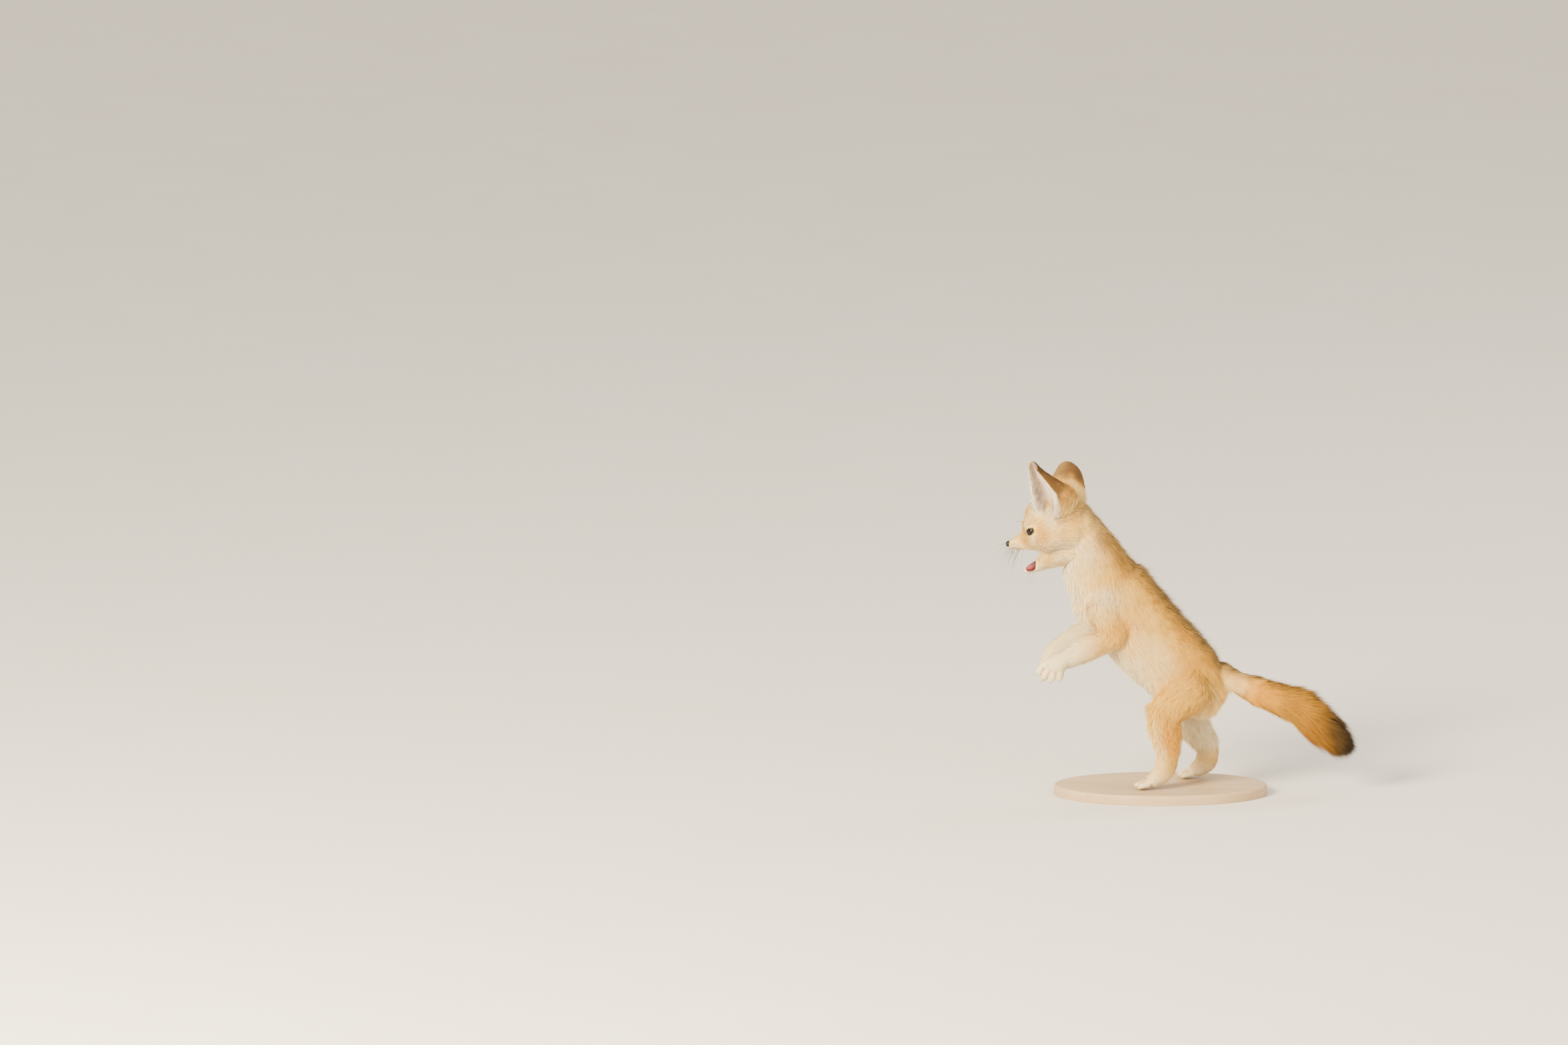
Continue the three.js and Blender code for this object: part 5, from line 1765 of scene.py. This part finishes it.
def milk_teeth():
    """Canines and the small incisors between them, above and below."""
    bodies = []
    for side in SIDES:
        bodies.append(tooth((side * 4.3, -48, -10.2), (side * 0.08, -0.12, -0.98), 3.9, 0.8))
        bodies.append(tooth((side * 3.9, -43.4, -34.9), (side * 0.1, -0.3, 0.94), 3.4, 0.7))
        for k in range(3):
            x = side * (0.55 + k * 1.05)
            bodies.append(tooth((x, -50.2 + k * 0.4, -10.0), (0, -0.1, -1), 1.5, 0.42))
            bodies.append(tooth((x * 0.85, -45.6 + k * 0.4, -34.9), (0, -0.3, 1), 1.3, 0.38))
    piece = mesh_piece("milk_teeth", *together([outward(in_kit(b)) for b in bodies]), [tooth_finish()])
    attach(piece, "root")


CLAW_SHARES = {"forepaw": 0.75, "hindfoot": 0.9}


def claw_piece():
    """The sixteen claws, each bent down from the tip of its toe."""
    bodies, run = [], []
    for (paw, _), toes in TOES.items():
        radius, length = CLAW["radius"] * CLAW_SHARES[paw], CLAW["length"] * CLAW_SHARES[paw]
        for toe in toes:
            tip, point, top = toe["tip"], toe["point"], toe["top"]
            start = tip + top * 0.8 - point * 1.2
            middle = tip + point * length * 0.5 + top * 0.9
            end = tip + point * length - top * 0.3
            stations = [
                (*start, radius * 0.8, radius, radius),
                (*middle, radius * 0.65, radius * 0.85, radius * 0.85),
                (*end, 0.22, 0.24, 0.24),
            ]
            body = outward(loft(stations, top, 14, 16, (0.3, 0.8), 3))
            bodies.append(body)
            run.append(np.clip((body[0] - tip) @ point / length, 0, 1))
    piece = mesh_piece("claw_set", *together(bodies), [claw_finish()])
    paint_points(piece, "run", np.concatenate(run))
    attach(piece, "root")
    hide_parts(*sorted(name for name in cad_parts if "claw" in name))


# Groups of three fine hairs on each side, over the eye, on the cheek and under the chin: root and way out
# of the first, step to the next, how far the ways scatter, and least and greatest length

FINE_HAIRS = [
    ((11.5, -30.5, 12.5), (0.45, -0.75, 0.7), (1, 0, 0.6), 0.12, (13, 18)),
    ((17, -22, -14.5), (0.8, -0.2, -0.5), (1, 1, 0), 0.12, (10, 15)),
    ((2.5, -42, -37.6), (0.5, -0.5, -0.8), (2, 2.5, -0.5), 0.15, (7, 12)),
]
WHISKER = {"radius": 0.12, "fine_radius": 0.09, "tip": 0.2, "fall": 0.4, "steps": 14, "sides": 6}


def whisker_lines():
    """Root, way out, length and radius of every whisker, in the head's frame."""
    rng = np.random.default_rng(7)
    lines = []
    for side in SIDES:
        for row, k in np.ndindex(4, 5):
            root = (side * (8.0 + 0.5 * k - 0.2 * row), -50 + k * 2.0, -6.2 - row * 1.5)
            out = np.array((side * (0.5 + 0.05 * k), -1.0 + 0.1 * k, 0.45 - 0.42 * row))
            length = (16 + 4 * k) * (1 - 0.04 * row) * rng.uniform(0.85, 1.15)
            lines.append((root, out + rng.normal(0, 0.16, 3), length, WHISKER["radius"]))
        for k in range(3):
            for (x, y, z), way, (dx, dy, dz), scatter, lengths in FINE_HAIRS:
                root = (side * (x + dx * k), y + dy * k, z + dz * k)
                out = np.array(way) * [side, 1, 1] + rng.normal(0, scatter, 3)
                lines.append((root, out, rng.uniform(*lengths), WHISKER["fine_radius"]))
    return lines


WHISKER_NODES = {
    "start": "NodeGroupInput",
    "curve": "GeometryNodeMeshToCurve",
    "reach": "GeometryNodeSetCurveRadius",
    "thick": "GeometryNodeInputNamedAttribute",
    "ring": "GeometryNodeCurvePrimitiveCircle",
    "sweep": "GeometryNodeCurveToMesh",
    "whole": "GeometryNodeRealizeInstances",
    "finish": "GeometryNodeSetMaterial",
    "end": "NodeGroupOutput",
}
WHISKER_LINKS = [
    ("start", "Geometry", "curve", "Mesh"),
    ("curve", "Curve", "reach", "Curve"),
    ("thick", "Attribute", "reach", "Radius"),
    ("reach", "Curve", "sweep", "Curve"),
    ("start", "Sides", "ring", "Resolution"),
    ("ring", "Curve", "sweep", "Profile Curve"),
    ("thick", "Attribute", "sweep", "Scale"),
    ("sweep", "Mesh", "whole", "Geometry"),
    ("whole", "Geometry", "finish", "Geometry"),
    ("finish", "Geometry", "end", "Geometry"),
]


def whisker_tree():
    """Node tree that turns lines with a radius at each point into tapered tubes."""
    tree = bpy.data.node_groups.new("Whisker tubes", "GeometryNodeTree")
    face = tree.interface
    face.new_socket("Geometry", in_out="INPUT", socket_type="NodeSocketGeometry")
    sides = face.new_socket("Sides", in_out="INPUT", socket_type="NodeSocketInt")
    face.new_socket("Geometry", in_out="OUTPUT", socket_type="NodeSocketGeometry")
    made = {name: tree.nodes.new(kind) for name, kind in WHISKER_NODES.items()}
    made["thick"].data_type = "FLOAT"
    made["thick"].inputs["Name"].default_value = "thick"
    made["ring"].inputs["Radius"].default_value = 1.0
    made["sweep"].inputs["Fill Caps"].default_value = True
    made["finish"].inputs["Material"].default_value = whisker_finish()
    for first, way_out, second, way_in in WHISKER_LINKS:
        tree.links.new(made[first].outputs[way_out], made[second].inputs[way_in])
    return tree, sides.identifier


def whisker_piece():
    """All whiskers: lines that fall towards their points, swept into tubes."""
    steps = WHISKER["steps"]
    share = np.linspace(0, 1, steps)
    points, edges, thick, run = [], [], [], []
    down = HEAD_TURN.T @ np.array([0, 0.15, -1.0])
    for root, out, length, radius in whisker_lines():
        line = np.array(root) + unit(out) * (share * length)[:, None]
        line = line + down * (share**2 * length * WHISKER["fall"])[:, None]
        count = len(points) * steps
        points.append(from_head(line))
        edges += [(count + k, count + k + 1) for k in range(steps - 1)]
        thick.append(radius * (1 - (1 - WHISKER["tip"]) * share) * MM)
        run.append(share)
    mesh = bpy.data.meshes.new("whiskers")
    mesh.from_pydata(placed(np.vstack(points)).tolist(), edges, [])
    piece = bpy.data.objects.new("whiskers", mesh)
    bpy.context.scene.collection.objects.link(piece)
    paint_points(piece, "thick", np.concatenate(thick))
    paint_points(piece, "run", np.concatenate(run))
    tree, sides = whisker_tree()
    grow = piece.modifiers.new("Tubes", "NODES")
    grow.node_group = tree
    grow[sides] = WHISKER["sides"]
    graph = bpy.context.evaluated_depsgraph_get()
    made = bpy.data.meshes.new_from_object(piece.evaluated_get(graph))
    piece.modifiers.remove(grow)
    piece.data = made
    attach(piece, "root")


nose_piece()
tongue_piece()
milk_teeth()
claw_piece()
whisker_piece()


# Base: an oval board with a rounded upper edge


def base_piece():
    around = 240
    turn = np.linspace(0, 2 * math.pi, around, endpoint=False)
    edge, thick = BOARD["edge"], BOARD["thick"]
    rims = [(0.6, 0.0), (0.15, 0.15), (0.0, 0.6)]
    for bend in np.linspace(0, math.pi / 2, 9):
        rims.append((edge * (1 - math.cos(bend)), thick - edge + edge * math.sin(bend)))
    rims += [(share * BOARD["width"] / 2, thick) for share in (0.15, 0.3, 0.5, 0.7, 0.9)]
    rows = []
    for inset, height in rims:
        half = np.array([BOARD["width"] / 2 - inset, BOARD["length"] / 2 - inset])
        rows.append(np.c_[np.cos(turn) * half[0], np.sin(turn) * half[1], np.full(around, height)])
    points = np.vstack([*rows, [[0, 0, 0], [0, 0, thick]]])
    points, faces = outward((points, tube_faces(len(rims), around)))
    piece = mesh_piece("display_base", points - KIT_AT, faces, [board_finish()])
    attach(piece, "root")
    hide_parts("stand_base")


base_piece()


# Floor, light and camera, in metres in the row frame. Each lamp has its place, size, power and colour.

LAMPS = {
    "key": ((2.4, -2.0, 1.7), 1.2, 430, (1.0, 0.88, 0.65)),
    "fill": ((2.4, 1.6, 1.4), 1.8, 44, (1.0, 0.93, 0.82)),
    "rim": ((-1.6, 1.8, 2.2), 1.0, 36, (1.0, 0.94, 0.85)),
}
LAMP_AIM = np.array([0, 0, 0.17])
AIR = {"Color": (1.0, 0.93, 0.79, 1), "Strength": 1.34}
FLOOR_SIZE = 60

# The camera looks down by its tilt at the place it aims at, from a long way off. Its lens is in
# millimetres.

LENS = {"focal": 300, "sensor": 36}
CLIP_END = 200
AIM = np.array([0.0, -0.3743, 0.2737])
TILT = math.radians(10)
AWAY = 12.94


def look_along(direction):
    """Rotation that points a lamp or camera's -Z along a direction, with its top up."""
    x, y, z = unit(np.asarray(direction, float))
    return (math.acos(-z), 0.0, math.atan2(y, x) - math.pi / 2)


def put_in(name, data, place, direction):
    """A lamp or camera at a place, turned to a direction."""
    made = bpy.data.objects.new(name, data)
    bpy.context.scene.collection.objects.link(made)
    made.location = place
    made.rotation_euler = look_along(direction)
    return made


def stage_and_light():
    bpy.ops.mesh.primitive_plane_add(size=FLOOR_SIZE, location=(0, 0, 0))
    floor = bpy.context.object
    floor.name = "floor"
    floor.data.materials.append(floor_finish())
    world = bpy.data.worlds.new("studio air")
    bpy.context.scene.world = world
    world.use_nodes = True
    for key, value in AIR.items():
        world.node_tree.nodes["Background"].inputs[key].default_value = value
    for name, (place, size, power, colour) in LAMPS.items():
        data = bpy.data.lights.new(name, "AREA")
        data.size = size
        data.energy = power
        data.color = colour
        put_in(name, data, place, LAMP_AIM - np.array(place))


def camera():
    data = bpy.data.cameras.new("camera")
    data.lens = LENS["focal"]
    data.sensor_width = LENS["sensor"]
    data.clip_end = CLIP_END
    back = np.array([math.cos(TILT), 0, math.sin(TILT)])
    bpy.context.scene.camera = put_in("camera", data, AIM + back * AWAY, -back)


stage_and_light()
camera()
